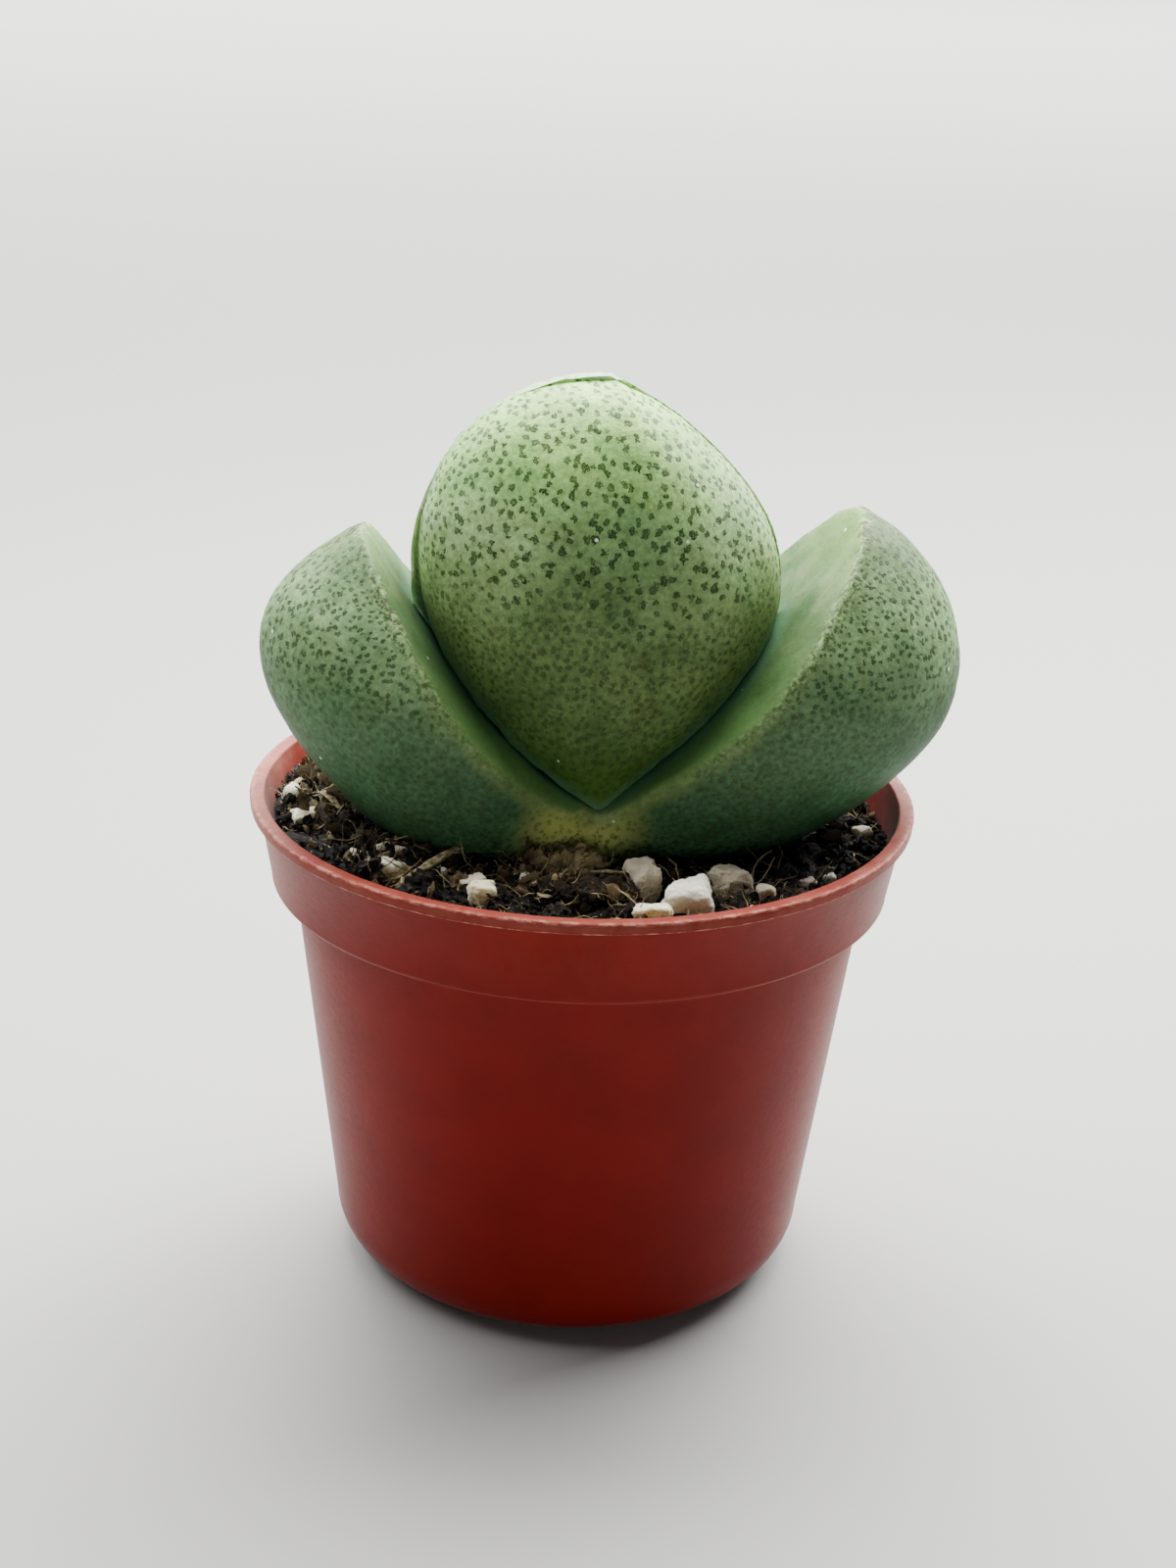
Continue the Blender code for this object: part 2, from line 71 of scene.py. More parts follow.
# Rounded edges of the pot: the lip's top, foot and mouth, the collar's foot and the step, and its worn heights
LIP_TOP_ROUND = 0.00028
LIP_FOOT_ROUND = 0.00022
LIP_MOUTH_ROUND = 0.00025
COLLAR_ROUND = 0.00052
STEP_ROUND = 0.00045
LIP_WORN = (POT_HEIGHT - 0.0013, POT_HEIGHT - 0.0009)

# Peat bed: its gaps to the pot, how its relief fades towards the edge, and the outer ring along the wall
BED_SIDES = 300
BED_RINGS = 90
BED_DROP = 0.0030
BED_SLOPE = (0.040, 0.015)
BED_GAP = 0.0004
BED_FLOOR_GAP = 0.0003
BED_RIM_GAP = 0.0004
BED_FADE = 0.001
BED_EDGE_SHARE = 0.6
BED_EDGE = 0.0303
EDGE_RING = (0.82, 1.0)

# Loose crumbs: how much rarer the large ones are, and the shares of their size that they keep from wall and leaves
CRUMB_SKEW = 2.2
CRUMB_WALL_SHARE = 0.9
CRUMB_LEAF_SHARE = 0.35

# Loose fibres: their reach, how far they rise or dip, and how far they keep from wall, leaves and the air above
FIBRE_REACH = 0.0045
FIBRE_LIFT = 0.0006
FIBRE_DIP = 0.15
FIBRE_WALL_GAP = 0.0004
FIBRE_TIP_GAP = 0.0002
FIBRE_LEAF_GAP = 0.0001
FIBRE_HEADROOM = 0.0015

# Perlite grains: which are large, in millimetres, how far they stand out, and what share of their size is kept
GRAIN_LARGE = 1.2
GRAIN_STEP = 0.0006
GRAIN_RISE = 0.62
GRAIN_SHARE = 0.84

# The plant: its notch and turn, the seam round its root neck, and the middle that the lamps point at
NOTCH = Vector((0.0004, -0.0003, POT_HEIGHT + 0.0028))
PLANT_TURN = math.radians(5.7)
NECK_SEAM = -0.0060
PLANT_MIDDLE = (0.0, 0.0, 0.065)

# Fissure: how far from it the lips move in and are wholly pressed, what share of their gap stays, how deep and
# wide the groove is filled, outwards from the leaves' heart and not past the crest, and where its lip is smooth
LIP_REACH = 0.0026
LIP_PRESSED = 0.0008
LIP_CLOSED = 0.02
LIP_FILL = 0.00050
LIP_ROUND = 0.0012
LIP_CREST = 0.0003
LEAF_HEART = 0.0120
SMOOTH_LIP = ((-0.0003, 0.0), (0.0008, 0.0034))

# Margins and tips of the leaves: how near points are merged, crease, step and reach of the sharp margins, reach of
# the cleft's shade, heights between which the margins turn sharp, reach of the blunt tips, and turn of inner faces
MERGE = 0.00001
MARGIN_CREASE = 0.35
MARGIN_STEP = 0.0003
MARGIN_REACH = 0.0030
CLEFT_REACH = 0.0045
LOW_MARGIN = (0.062, 0.074)
TIP_REACH = (0.0015, 0.0065)
FACE_TURN = (0.15, 0.45)

# Camera: distance to the middle of the rim, height above level, roll, lens and shift
CAMERA_DISTANCE = 0.250
CAMERA_ELEVATION = math.radians(21.3)
CAMERA_ROLL = math.radians(2.3)
CAMERA_LENS = 58.32
CAMERA_SHIFT = (0.0035, 0.00256)


def colour(code):
    """Turn a six-digit sRGB hex code into linear RGBA."""
    channels = [int(code[start:start + 2], 16) / 255 for start in (0, 2, 4)]
    linear = [c / 12.92 if c <= 0.04045 else ((c + 0.055) / 1.055) ** 2.4 for c in channels]
    return (*linear, 1.0)


def pick_only(*items):
    """Select these objects alone and make the first one active."""
    bpy.ops.object.select_all(action="DESELECT")
    for item in items:
        item.select_set(True)
    bpy.context.view_layer.objects.active = items[0]


def edit_all():
    """Go into edit mode with the whole mesh selected."""
    bpy.ops.object.mode_set(mode="EDIT")
    bpy.ops.mesh.select_all(action="SELECT")


def link_new(name, data):
    """Put new data into the scene as an object."""
    item = bpy.data.objects.new(name, data)
    bpy.context.scene.collection.objects.link(item)
    return item


def just_made(name):
    """Name the object that an operator has just made, and its data."""
    item = bpy.context.object
    item.name = name
    item.data.name = name
    return item


def join_as(name, items):
    """Join objects into one piece."""
    pick_only(*items)
    bpy.ops.object.join()
    return just_made(name)


def finish_modifiers(item):
    """Apply every modifier of an object in order."""
    pick_only(item)
    for modifier in list(item.modifiers):
        bpy.ops.object.modifier_apply(modifier=modifier.name)


def raise_relief(item, name, size, height, depth=2, group=""):
    """Push the surface in and out along its normals by a soft random relief with lumps of a size."""
    lumps = bpy.data.textures.new(name, "CLOUDS")
    lumps.noise_scale = size
    lumps.noise_depth = depth
    push = item.modifiers.new(name, "DISPLACE")
    push.texture = lumps
    push.texture_coords = "LOCAL"
    push.strength = height
    push.vertex_group = group


def wear_down(item, name, rounds, group):
    """Smooth the weighted part of an object by a number of rounds."""
    wear = item.modifiers.new(name, "SMOOTH")
    wear.factor = 0.5
    wear.iterations = rounds
    wear.vertex_group = group


def round_off(item, levels):
    """Round an object with a subdivision surface."""
    rounded = item.modifiers.new("rounded", "SUBSURF")
    rounded.levels = levels
    rounded.render_levels = levels


def dress(item, material, slot, *nodes):
    """Give a finished piece its material and body, and hide the solids it stands for. The slot is not used."""
    item.data.materials.clear()
    item.data.materials.append(material)
    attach(item, "root")
    if nodes:
        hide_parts(*nodes)


# Shader nodes

def add(tree, kind, inputs, **settings):
    """Add a node with its settings. Inputs go by socket name or number, or as a list from the top socket down.

    An input is a value, a socket, or a node whose first output in use is taken.
    """
    node = tree.nodes.new("ShaderNode" + kind)
    for name, value in settings.items():
        setattr(node, name, value)
    for name, value in inputs.items() if isinstance(inputs, dict) else enumerate(inputs):
        if isinstance(value, bpy.types.Node):
            value = next(output for output in value.outputs if output.enabled)
        if isinstance(value, bpy.types.NodeSocket):
            tree.links.new(value, node.inputs[name])
        else:
            node.inputs[name].default_value = value
    return node


def new_material(name, **sockets):
    """A material with its main shader's fixed numbers set, and its place in millimetres."""
    material = bpy.data.materials.new(name)
    material.use_nodes = True
    tree = material.node_tree
    surface = tree.nodes["Principled BSDF"]
    for socket, value in sockets.items():
        surface.inputs[socket.replace("_", " ")].default_value = value
    place = add(tree, "TexCoord", [])
    place = add(tree, "VectorMath", {0: place.outputs["Object"], "Scale": 1 / MM}, operation="SCALE")
    return material, tree, surface, place


def finish_surface(tree, surface, shade, coats=(), relief=None, rough=None):
    """Link a finish to the main shader: a colour under coats of (mask, hex code), a relief and a roughness.

    The relief is its pattern, its strength and its depth in metres.
    """
    for mask, code in coats:
        shade = add(tree, "Mix", {0: mask, 6: shade, 7: colour(code)}, data_type="RGBA")
    tree.links.new(shade.outputs[2], surface.inputs["Base Color"])
    if relief is not None:
        pattern, strength, depth = relief
        bump = add(tree, "Bump", {"Height": pattern, "Strength": strength, "Distance": depth})
        tree.links.new(bump.outputs[0], surface.inputs["Normal"])
    if rough is not None:
        tree.links.new(rough.outputs[0], surface.inputs["Roughness"])


def patches(tree, place, size, detail, start, end, low=0.0, high=1.0, roughness=0.5):
    """Soft patches of a size in millimetres: low where the noise is under start, and high where it is over end."""
    noise = add(tree, "TexNoise", {"Vector": place, "Scale": 1 / size, "Detail": detail, "Roughness": roughness})
    return add(tree, "MapRange", [noise, start, end, low, high])


def spots(tree, place, spacing, radius, edge):
    """A mask of round spots scattered at a spacing in millimetres, each of its own size."""
    cells = add(tree, "TexVoronoi", {"Vector": place, "Scale": 1 / spacing, "Randomness": 0.95})
    share = radius / spacing
    own = add(tree, "MapRange", [cells.outputs["Color"], 0.0, 1.0, 0.65 * share, 1.25 * share])
    inner = add(tree, "Math", [own, edge], operation="MULTIPLY")
    return add(tree, "MapRange", [cells.outputs["Distance"], own, inner], interpolation_type="SMOOTHSTEP")


def window_dots(tree, place, flat, spacing, radius):
    """Window dots strewn over the unwrapped skin, lobed and ragged like small flowers and paler in the middle."""
    cells = add(tree, "TexVoronoi", {
        "Vector": flat, "Scale": 1 / spacing, "Randomness": 0.85,
    }, voronoi_dimensions="2D")
    share = radius / spacing
    lobes = patches(tree, place, radius / 0.75, 2.0, 0.3, 0.7, -0.75 * share, 0.65 * share, 0.6)
    reach = add(tree, "Math", [cells.outputs["Distance"], lobes], operation="ADD")
    draws = add(tree, "SeparateColor", [cells.outputs["Color"]])
    own = add(tree, "MapRange", [draws.outputs[0], 0.0, 1.0, 0.70 * share, 1.20 * share])
    inner = add(tree, "Math", [own, 0.78], operation="MULTIPLY")
    spot = add(tree, "MapRange", [reach, own, inner], interpolation_type="SMOOTHSTEP")
    middle = add(tree, "MapRange", [reach, 0.0, 0.45 * share, 0.85, 1.0])
    strength = add(tree, "MapRange", [draws.outputs[1], 0.0, 1.0, 0.80, 1.0])
    strength = add(tree, "Math", [strength, middle], operation="MULTIPLY")
    spot = add(tree, "Math", [spot, strength], operation="MULTIPLY")
    halo = add(tree, "MapRange", [cells.outputs["Distance"], 0.60, 0.15, 0.0, 0.12])
    return add(tree, "Math", [spot, halo], operation="MAXIMUM")


def grade(tree, value, stops):
    """A colour that runs through stops of (value, hex code)."""
    shade = colour(stops[0][1])
    for before, after in zip(stops, stops[1:]):
        climb = add(tree, "MapRange", [value, before[0], after[0]])
        shade = add(tree, "Mix", {0: climb, 6: shade, 7: colour(after[1])}, data_type="RGBA")
    return shade


def warp(tree, place, size, reach):
    """Shift a place about by a soft noise of a size and reach in millimetres."""
    stir = add(tree, "TexNoise", {"Vector": place, "Scale": 1 / size, "Detail": 1.0})
    centred = add(tree, "VectorMath", [stir.outputs["Color"], (0.5, 0.5, 0.5)], operation="SUBTRACT")
    shift = add(tree, "VectorMath", {0: centred, "Scale": 2 * reach}, operation="SCALE")
    return add(tree, "VectorMath", [place, shift], operation="ADD")


def near(tree, place, point, inner, outer):
    """1 near a point and 0 far from it, with the two distances in millimetres."""
    away = add(tree, "VectorMath", [place, point], operation="DISTANCE")
    return add(tree, "MapRange", [away.outputs["Value"], outer, inner], interpolation_type="SMOOTHSTEP")


# Leaves

def on_plant(point):
    """A point as the plant itself has it: across its leaves, along its fissure's way, and up from the notch."""
    return Matrix.Rotation(-PLANT_TURN, 3, "Z") @ (point - NOTCH)


def ramp(value, start, end):
    """0 before the start and 1 after the end, eased."""
    share = min(1.0, max(0.0, (value - start) / (end - start)))
    return share * share * (3.0 - 2.0 * share)


def unwrap_skin(piece, across):
    """Unwrap a leaf pair, with seams at margins, between leaves and round the neck. 1 unit of UV is 1 mm."""
    mesh = piece.data
    sides = {}
    for face in mesh.polygons:
        centre = on_plant(face.center)
        for key in face.edge_keys:
            sides.setdefault(key, set()).add((centre[across] > 0.0, centre.z > NECK_SEAM))
    for edge in mesh.edges:
        edge.use_seam = edge.use_seam or len(sides[edge.key]) > 1
    edit_all()
    bpy.ops.uv.unwrap(method="MINIMUM_STRETCH", margin=0.01)
    bpy.ops.object.mode_set(mode="OBJECT")
    layer = mesh.uv_layers.active
    layer.name = "skin"
    flat_area = 0.0
    for face in mesh.polygons:
        corners = [layer.uv[number].vector for number in face.loop_indices]
        crossed = sum(here.cross(after) for here, after in zip(corners, corners[1:] + corners[:1]))
        flat_area += 0.5 * abs(crossed)
    scale = math.sqrt(sum(face.area for face in mesh.polygons) / flat_area) / MM
    for entry in layer.uv:
        entry.vector *= scale


def grown_copy(node, name, corner, across):
    """A merged copy of a packed leaf pair, unwrapped and subdivided, and points along its sharp margins."""
    piece = link_new(name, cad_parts[node].data.copy())
    piece.data.name = name
    pick_only(piece)
    edit_all()
    bpy.ops.mesh.remove_doubles(threshold=MERGE)
    bpy.ops.mesh.tris_convert_to_quads(face_threshold=math.radians(30), shape_threshold=math.radians(50))
    bpy.ops.mesh.select_mode(type="EDGE")
    bpy.ops.mesh.select_all(action="DESELECT")
    bpy.ops.mesh.edges_select_sharp(sharpness=math.radians(corner))
    bpy.ops.mesh.mark_seam(clear=False)
    bpy.ops.transform.edge_crease(value=MARGIN_CREASE)
    bpy.ops.object.mode_set(mode="OBJECT")
    margin = []
    for edge in piece.data.edges:
        if edge.select:
            ends = [piece.data.vertices[number].co for number in edge.vertices]
            steps = max(1, round((ends[1] - ends[0]).length / MARGIN_STEP))
            margin += [ends[0].lerp(ends[1], step / steps) for step in range(steps + 1)]
    unwrap_skin(piece, across)
    round_off(piece, 2)
    finish_modifiers(piece)
    return piece, margin


def closeness(points, others, reach):
    """For each point, 1 where another point lies on it, and 0 from a reach outwards."""
    tree = KDTree(len(others))
    for number, other in enumerate(others):
        tree.insert(other, number)
    tree.balance()
    return [max(0.0, 1.0 - tree.find(point)[2] / reach) for point in points]


def write_values(piece, name, values):
    """Store one number for each vertex, for the material to read."""
    layer = piece.data.attributes.new(name, "FLOAT", "POINT")
    layer.data.foreach_set("value", values)


def weigh(piece, name, values):
    """Store one weight for each vertex, for a modifier to read."""
    group = piece.vertex_groups.new(name=name)
    for number, value in enumerate(values):
        if value > 0.01:
            group.add([number], value, "REPLACE")


def close_fissure(piece):
    """Fill the groove along the fissure and press its lips together to the fine line that the leaves show."""
    back = Matrix.Rotation(PLANT_TURN, 3, "Z")
    crest = max(on_plant(vertex.co).z for vertex in piece.data.vertices) - LIP_CREST
    for vertex in piece.data.vertices:
        place = on_plant(vertex.co)
        reach = abs(place.y)
        if reach < LIP_REACH:
            out = Vector((place.x, 0.0, place.z - LEAF_HEART)).normalized()
            filled = place + out * LIP_FILL * (1.0 - ramp(reach, 0.0, LIP_ROUND))
            place = Vector((filled.x, place.y, max(place.z, min(filled.z, crest))))
            place.y *= LIP_CLOSED + (1.0 - LIP_CLOSED) * ramp(reach, LIP_PRESSED, LIP_REACH)
            vertex.co = back @ place + NOTCH


def inward_faces(piece):
    """1 on the smooth inner faces of the old leaves, and 0 on their round backs."""
    values = []
    for vertex in piece.data.vertices:
        inward = -math.copysign(1.0, vertex.co.x) * vertex.normal.x - 0.5 * abs(vertex.normal.y)
        values.append(ramp(inward, *FACE_TURN))
    return values


def rear_lip(piece):
    """1 on the smooth lip of the rear young leaf, and 0 elsewhere."""
    reaches = [on_plant(vertex.co).y for vertex in piece.data.vertices]
    return [ramp(reach, *SMOOTH_LIP[0]) * (1.0 - ramp(reach, *SMOOTH_LIP[1])) for reach in reaches]


def make_leaves():
    """The outer and the inner leaf pair, with the values that their skins read."""
    outer, margin = grown_copy("outer_leaf_pair", "old_leaves", 34, 0)
    inner = grown_copy("inner_leaf_pair", "young_leaves", 40, 1)[0]
    points = [vertex.co.copy() for vertex in outer.data.vertices]
    inner_points = [vertex.co.copy() for vertex in inner.data.vertices]
    rim = closeness(points, [point for point in margin if point.z > POT_HEIGHT], MARGIN_REACH)
    write_values(outer, "margin", rim)
    write_values(outer, "cleft", closeness(points, inner_points, CLEFT_REACH))
    write_values(outer, "face", inward_faces(outer))

    # The old leaves' tips are blunt, and their margins are worn round low down and a little crumbly all along
    tips = [
        max((point for point in points if side * point.x > 0.0), key=lambda point: point.z) for side in (-1, 1)
    ]
    from_tip = [min((point - tip).length for tip in tips) for point in points]
    weigh(outer, "tips", [1.0 - ramp(away, *TIP_REACH) for away in from_tip])
    weigh(outer, "margin", rim)
    weigh(outer, "low_margin", [
        share * (1.0 - ramp(point.z, *LOW_MARGIN)) for share, point in zip(rim, points)
    ])
    wear_down(outer, "blunt_tips", 240, "tips")
    wear_down(outer, "worn_round", 14, "low_margin")
    raise_relief(outer, "old_swell", 0.0050, 0.00035)
    raise_relief(outer, "old_margin", 0.0012, 0.00014, group="margin")
    raise_relief(outer, "old_grain", 0.0020, 0.00010)

    lip = rear_lip(inner)
    close_fissure(inner)
    inner_points = [vertex.co.copy() for vertex in inner.data.vertices]
    write_values(inner, "margin", [0.0] * len(inner_points))
    write_values(inner, "cleft", closeness(inner_points, points, CLEFT_REACH))
    write_values(inner, "face", lip)
    raise_relief(inner, "young_swell", 0.0060, 0.00030)
    raise_relief(inner, "young_grain", 0.0020, 0.00010)
    for piece in (outer, inner):
        finish_modifiers(piece)
        piece.vertex_groups.clear()
        piece.data.shade_smooth()
    return outer, inner


def leaf_skin(name, flesh_and_light_stops, face_and_light_stops, foot, shade_share, dot, coarse, fine, change):
    """Waxy leaf skin: matt grey-green with a pale bloom, dark window dots and worn, corky margins.

    The stops are colours by height in millimetres, partly the skin's own tone and partly painted light and shade.
    Coarse and fine are the spacing and radius of the dots above and below the height of the change.
    """
    material, tree, surface, place = new_material(
        name, IOR=1.45, Specular_IOR_Level=0.11, Subsurface_Weight=0.08, Subsurface_Scale=0.0008,
    )
    surface.inputs["Subsurface Radius"].default_value = (0.7, 1.0, 0.4)
    flat = add(tree, "UVMap", [], uv_map="skin")
    height = add(tree, "SeparateXYZ", [place]).outputs["Z"]
    rim, face, cleft = (
        add(tree, "Attribute", [], attribute_name=kind).outputs["Fac"] for kind in ("margin", "face", "cleft")
    )

    # Flesh: a colour at each height, partly the skin's own tone and partly painted light and shade, with soft blue
    # and tan patches, fine mottling and a patch of painted shade in the middle
    level = patches(tree, place, 9.0, 3.0, 0.0, 1.0, -7.0, 7.0)
    level = add(tree, "Math", [height, level], operation="ADD")
    flesh_and_light = grade(tree, level, flesh_and_light_stops)
    blue = patches(tree, warp(tree, place, 8.0, 2.5), 6.0, 4.0, 0.50, 0.72, high=0.65)
    tan = patches(tree, warp(tree, place, 9.0, 3.0), 3.5, 4.0, 0.52, 0.74, high=0.45)
    mottle = patches(tree, place, 0.55, 4.0, 0.3, 0.7, 0.62, 1.32, 0.65)
    # Painted shade: a soft darker patch on the middle of the young leaves' front, as strong as the shade share
    shaded = near(tree, place, (2.0, -14.0, 76.0), 2.0, 11.0)
    shaded = add(tree, "Math", [shaded, shade_share], operation="MULTIPLY")
    for mask, tint in (
        (blue, colour("b9d2c4")), (tan, colour("dcc7a6")), (1.0, mottle), (shaded, colour("a9b8a4")),
    ):
        flesh_and_light = add(tree, "Mix", {0: mask, 6: flesh_and_light, 7: tint}, data_type="RGBA", blend_type="MULTIPLY")

    # The fused foot in front of the notch, its own tan with painted light that lifts it out of the shade, and the
    # smooth inner faces with a warm blush high up
    foot_tone_and_light = near(tree, place, (-0.3, -13.5, 49.6), 2.0, 8.0)
    flesh_and_light = add(tree, "Mix", {0: foot_tone_and_light, 6: flesh_and_light, 7: colour(foot)}, data_type="RGBA")
    smooth = grade(tree, height, face_and_light_stops)
    mottle = add(tree, "MapRange", [mottle, 0.62, 1.32, 0.84, 1.12])
    smooth = add(tree, "Mix", {0: 1.0, 6: smooth, 7: mottle}, data_type="RGBA", blend_type="MULTIPLY")
    high = add(tree, "MapRange", [height, 62.0, 72.0, 0.0, 0.25])
    blush = patches(tree, place, 3.0, 2.0, 0.42, 0.74, high=high)
    smooth = add(tree, "Mix", {0: blush, 6: smooth, 7: colour("a3a37c")}, data_type="RGBA")
    flesh_and_light = add(tree, "Mix", {0: face, 6: flesh_and_light, 7: smooth}, data_type="RGBA")

    # Window dots: larger and wider apart above, finer, closer and browner below, and few on the inner faces
    share = add(tree, "MapRange", [level, change - 3.0, change + 3.0])
    small, large = (window_dots(tree, place, flat, *size) for size in (fine, coarse))
    dots = add(tree, "Mix", {0: share, 2: small, 3: large})
    grain = patches(tree, place, 0.16, 1.0, 0.36, 0.52, 0.68)
    faint = add(tree, "MapRange", [height, 52.0, 70.0, 0.55, 1.0])
    bare = add(tree, "MapRange", [face, 0.0, 1.0, 1.0, 0.15])
    for part in (grain, faint, bare):
        dots = add(tree, "Math", [dots, part], operation="MULTIPLY")
    deep_green = add(tree, "Mix", {0: share, 6: colour("2f3a1c"), 7: colour(dot)}, data_type="RGBA")
    skin = add(tree, "Mix", {0: dots, 6: flesh_and_light, 7: deep_green}, data_type="RGBA")

    # Margins: soft and paler low down, with a line of pale corky flecks and dark specks higher up
    soft = add(tree, "MapRange", [rim, 0.45, 0.95])
    lower = add(tree, "MapRange", [height, 72.0, 58.0, 0.0, 0.75])
    blotch = patches(tree, place, 2.5, 4.0, 0.35, 0.60, 0.45)
    for part in (lower, blotch):
        soft = add(tree, "Math", [soft, part], operation="MULTIPLY")
    line = add(tree, "MapRange", [rim, 0.62, 0.92])
    fleck = add(tree, "TexNoise", {"Vector": warp(tree, place, 1.2, 0.5), "Scale": 1 / 0.50, "Detail": 3.0})
    worn = add(tree, "MapRange", [height, 54.0, 70.0, 0.10, 0.60])
    pale = add(tree, "MapRange", [fleck, 0.54, 0.66, 0.0, worn])
    speckled = add(tree, "MapRange", [height, 54.0, 68.0, 0.25, 0.9])
    dark = add(tree, "MapRange", [fleck, 0.47, 0.40, 0.0, speckled])
    pale, dark = (add(tree, "Math", [mask, line], operation="MULTIPLY") for mask in (pale, dark))

    # Over it all: painted shade, a deep blue-green in the cleft where the leaves shade each other, the margins, a
    # few white specks, and peat dust near the soil
    cleft_shade = add(tree, "MapRange", [cleft, 0.66, 0.98, 0.0, 0.75])
    specks = spots(tree, place, 5.0, 0.26, 0.5)
    soiled = add(tree, "TexNoise", {"Vector": place, "Scale": 1 / 0.6, "Detail": 4.0})
    low = add(tree, "MapRange", [height, 51.5, 46.0, 0.0, 0.30])
    soiled = add(tree, "Math", [soiled, low], operation="ADD")
    soiled = add(tree, "MapRange", [soiled, 0.68, 0.80, 0.0, 0.7])
    coats = (
        (cleft_shade, "5f9270"), (soft, "718a50"), (pale, "a9b582"),
        (dark, "3c4825"), (specks, "e8ece0"), (soiled, "2a2418"),
    )

    # Relief: fine waxy grain, dots that lie a little lower than the skin, and crumbly flecks along the margins
    wax = add(tree, "TexNoise", {"Vector": place, "Scale": 1 / 0.35, "Detail": 4.0})
    for mask, rise in ((dots, -0.6), (pale, 0.8)):
        wax = add(tree, "Math", [mask, rise, wax], operation="MULTIPLY_ADD")
    rough = add(tree, "MapRange", [wax, 0.2, 0.8, 0.50, 0.66])
    finish_surface(tree, surface, skin, coats, (wax, 0.45, 0.00010), rough)
    return material


# Pot

def arc(centre, radius, start, end, steps):
    """Points of a round stretch of a profile, between two angles in degrees."""
    turns = [math.radians(start + (end - start) * step / steps) for step in range(steps + 1)]
    return [(centre[0] + radius * math.cos(turn), centre[1] + radius * math.sin(turn)) for turn in turns]


def spin_profile(name, profile, sides):
    """Draw a profile point by point from a single vertex, and spin it round the upright axis."""
    bpy.ops.object.select_all(action="DESELECT")
    bpy.ops.mesh.primitive_circle_add(vertices=3, radius=MM)
    piece = just_made(name)
    edit_all()
    bpy.ops.mesh.select_mode(type="VERT")
    bpy.ops.mesh.select_all(action="SELECT")
    bpy.ops.mesh.merge(type="CENTER")
    points = [Vector((radius, 0.0, height)) for radius, height in profile]
    bpy.ops.transform.translate(value=points[0])
    for here, after in zip(points, points[1:]):
        bpy.ops.mesh.extrude_vertices_move(TRANSFORM_OT_translate={"value": after - here})
    bpy.ops.mesh.select_all(action="SELECT")
    bpy.ops.mesh.spin(steps=sides, angle=math.tau, center=(0.0, 0.0, 0.0), axis=(0.0, 0.0, 1.0))
    bpy.ops.mesh.select_all(action="SELECT")
    bpy.ops.mesh.remove_doubles(threshold=0.000002)
    bpy.ops.mesh.normals_make_consistent(inside=False)
    bpy.ops.object.mode_set(mode="OBJECT")
    return piece


def inner_wall():
    """The pot's inner wall, from below the lip to the floor."""
    foot = FOOT_ROUND - WALL
    return [
        (COLLAR_TOP_RADIUS - WALL, POT_HEIGHT - LIP_HEIGHT),
        (COLLAR_FOOT_RADIUS - WALL, COLLAR_FOOT),
        (BODY_TOP_RADIUS - WALL, STEP_FOOT),
        *arc((BODY_FOOT_RADIUS - FOOT_ROUND, FLOOR + foot), foot, 0, -90, 8),
    ]


def outer_wall():
    """The pot's outer wall from the lip to its flat foot, with its edges rounded."""
    edge = LIP_RADIUS - LIP_TOP_ROUND
    lip_foot = POT_HEIGHT - LIP_HEIGHT
    slope = math.degrees(math.atan2(COLLAR_FOOT - STEP_FOOT, COLLAR_FOOT_RADIUS - BODY_TOP_RADIUS))
    return [
        *arc((edge, POT_HEIGHT - LIP_TOP_ROUND), LIP_TOP_ROUND, 90, 12, 5),
        (LIP_RADIUS - 0.00006, POT_HEIGHT - LIP_HEIGHT / 2),
        *arc((edge, lip_foot + LIP_FOOT_ROUND), LIP_FOOT_ROUND, -5, -90, 4),
        (COLLAR_TOP_RADIUS + 0.00010, lip_foot),
        (COLLAR_TOP_RADIUS, lip_foot - 0.00012),
        (COLLAR_FOOT_RADIUS + 0.00004, COLLAR_FOOT + 0.00075),
        *arc((COLLAR_FOOT_RADIUS - 0.00050, COLLAR_FOOT + 0.00045), COLLAR_ROUND, 0, -90 + slope, 5),
        *reversed(arc((BODY_TOP_RADIUS + STEP_ROUND, STEP_FOOT - 0.00010), STEP_ROUND, 180, 90 + slope, 4)),
        (BODY_TOP_RADIUS, STEP_FOOT - 0.00120),
        *arc((BODY_FOOT_RADIUS - FOOT_ROUND, FOOT_ROUND), FOOT_ROUND, 0, -90, 12),
    ]


def base_underside():
    """The flat foot ring, the drain channel and the flat middle."""
    slope = CHANNEL_DEPTH / 2
    return [
        (CHANNEL_OUTER_RADIUS + 0.00015, 0.0),
        (CHANNEL_OUTER_RADIUS, 0.00010),
        (CHANNEL_OUTER_RADIUS - slope, CHANNEL_DEPTH),
        (CHANNEL_INNER_RADIUS + slope, CHANNEL_DEPTH),
        (CHANNEL_INNER_RADIUS, 0.00010),
        (CHANNEL_INNER_RADIUS - 0.00015, 0.0),
        (0.0, 0.0),
    ]


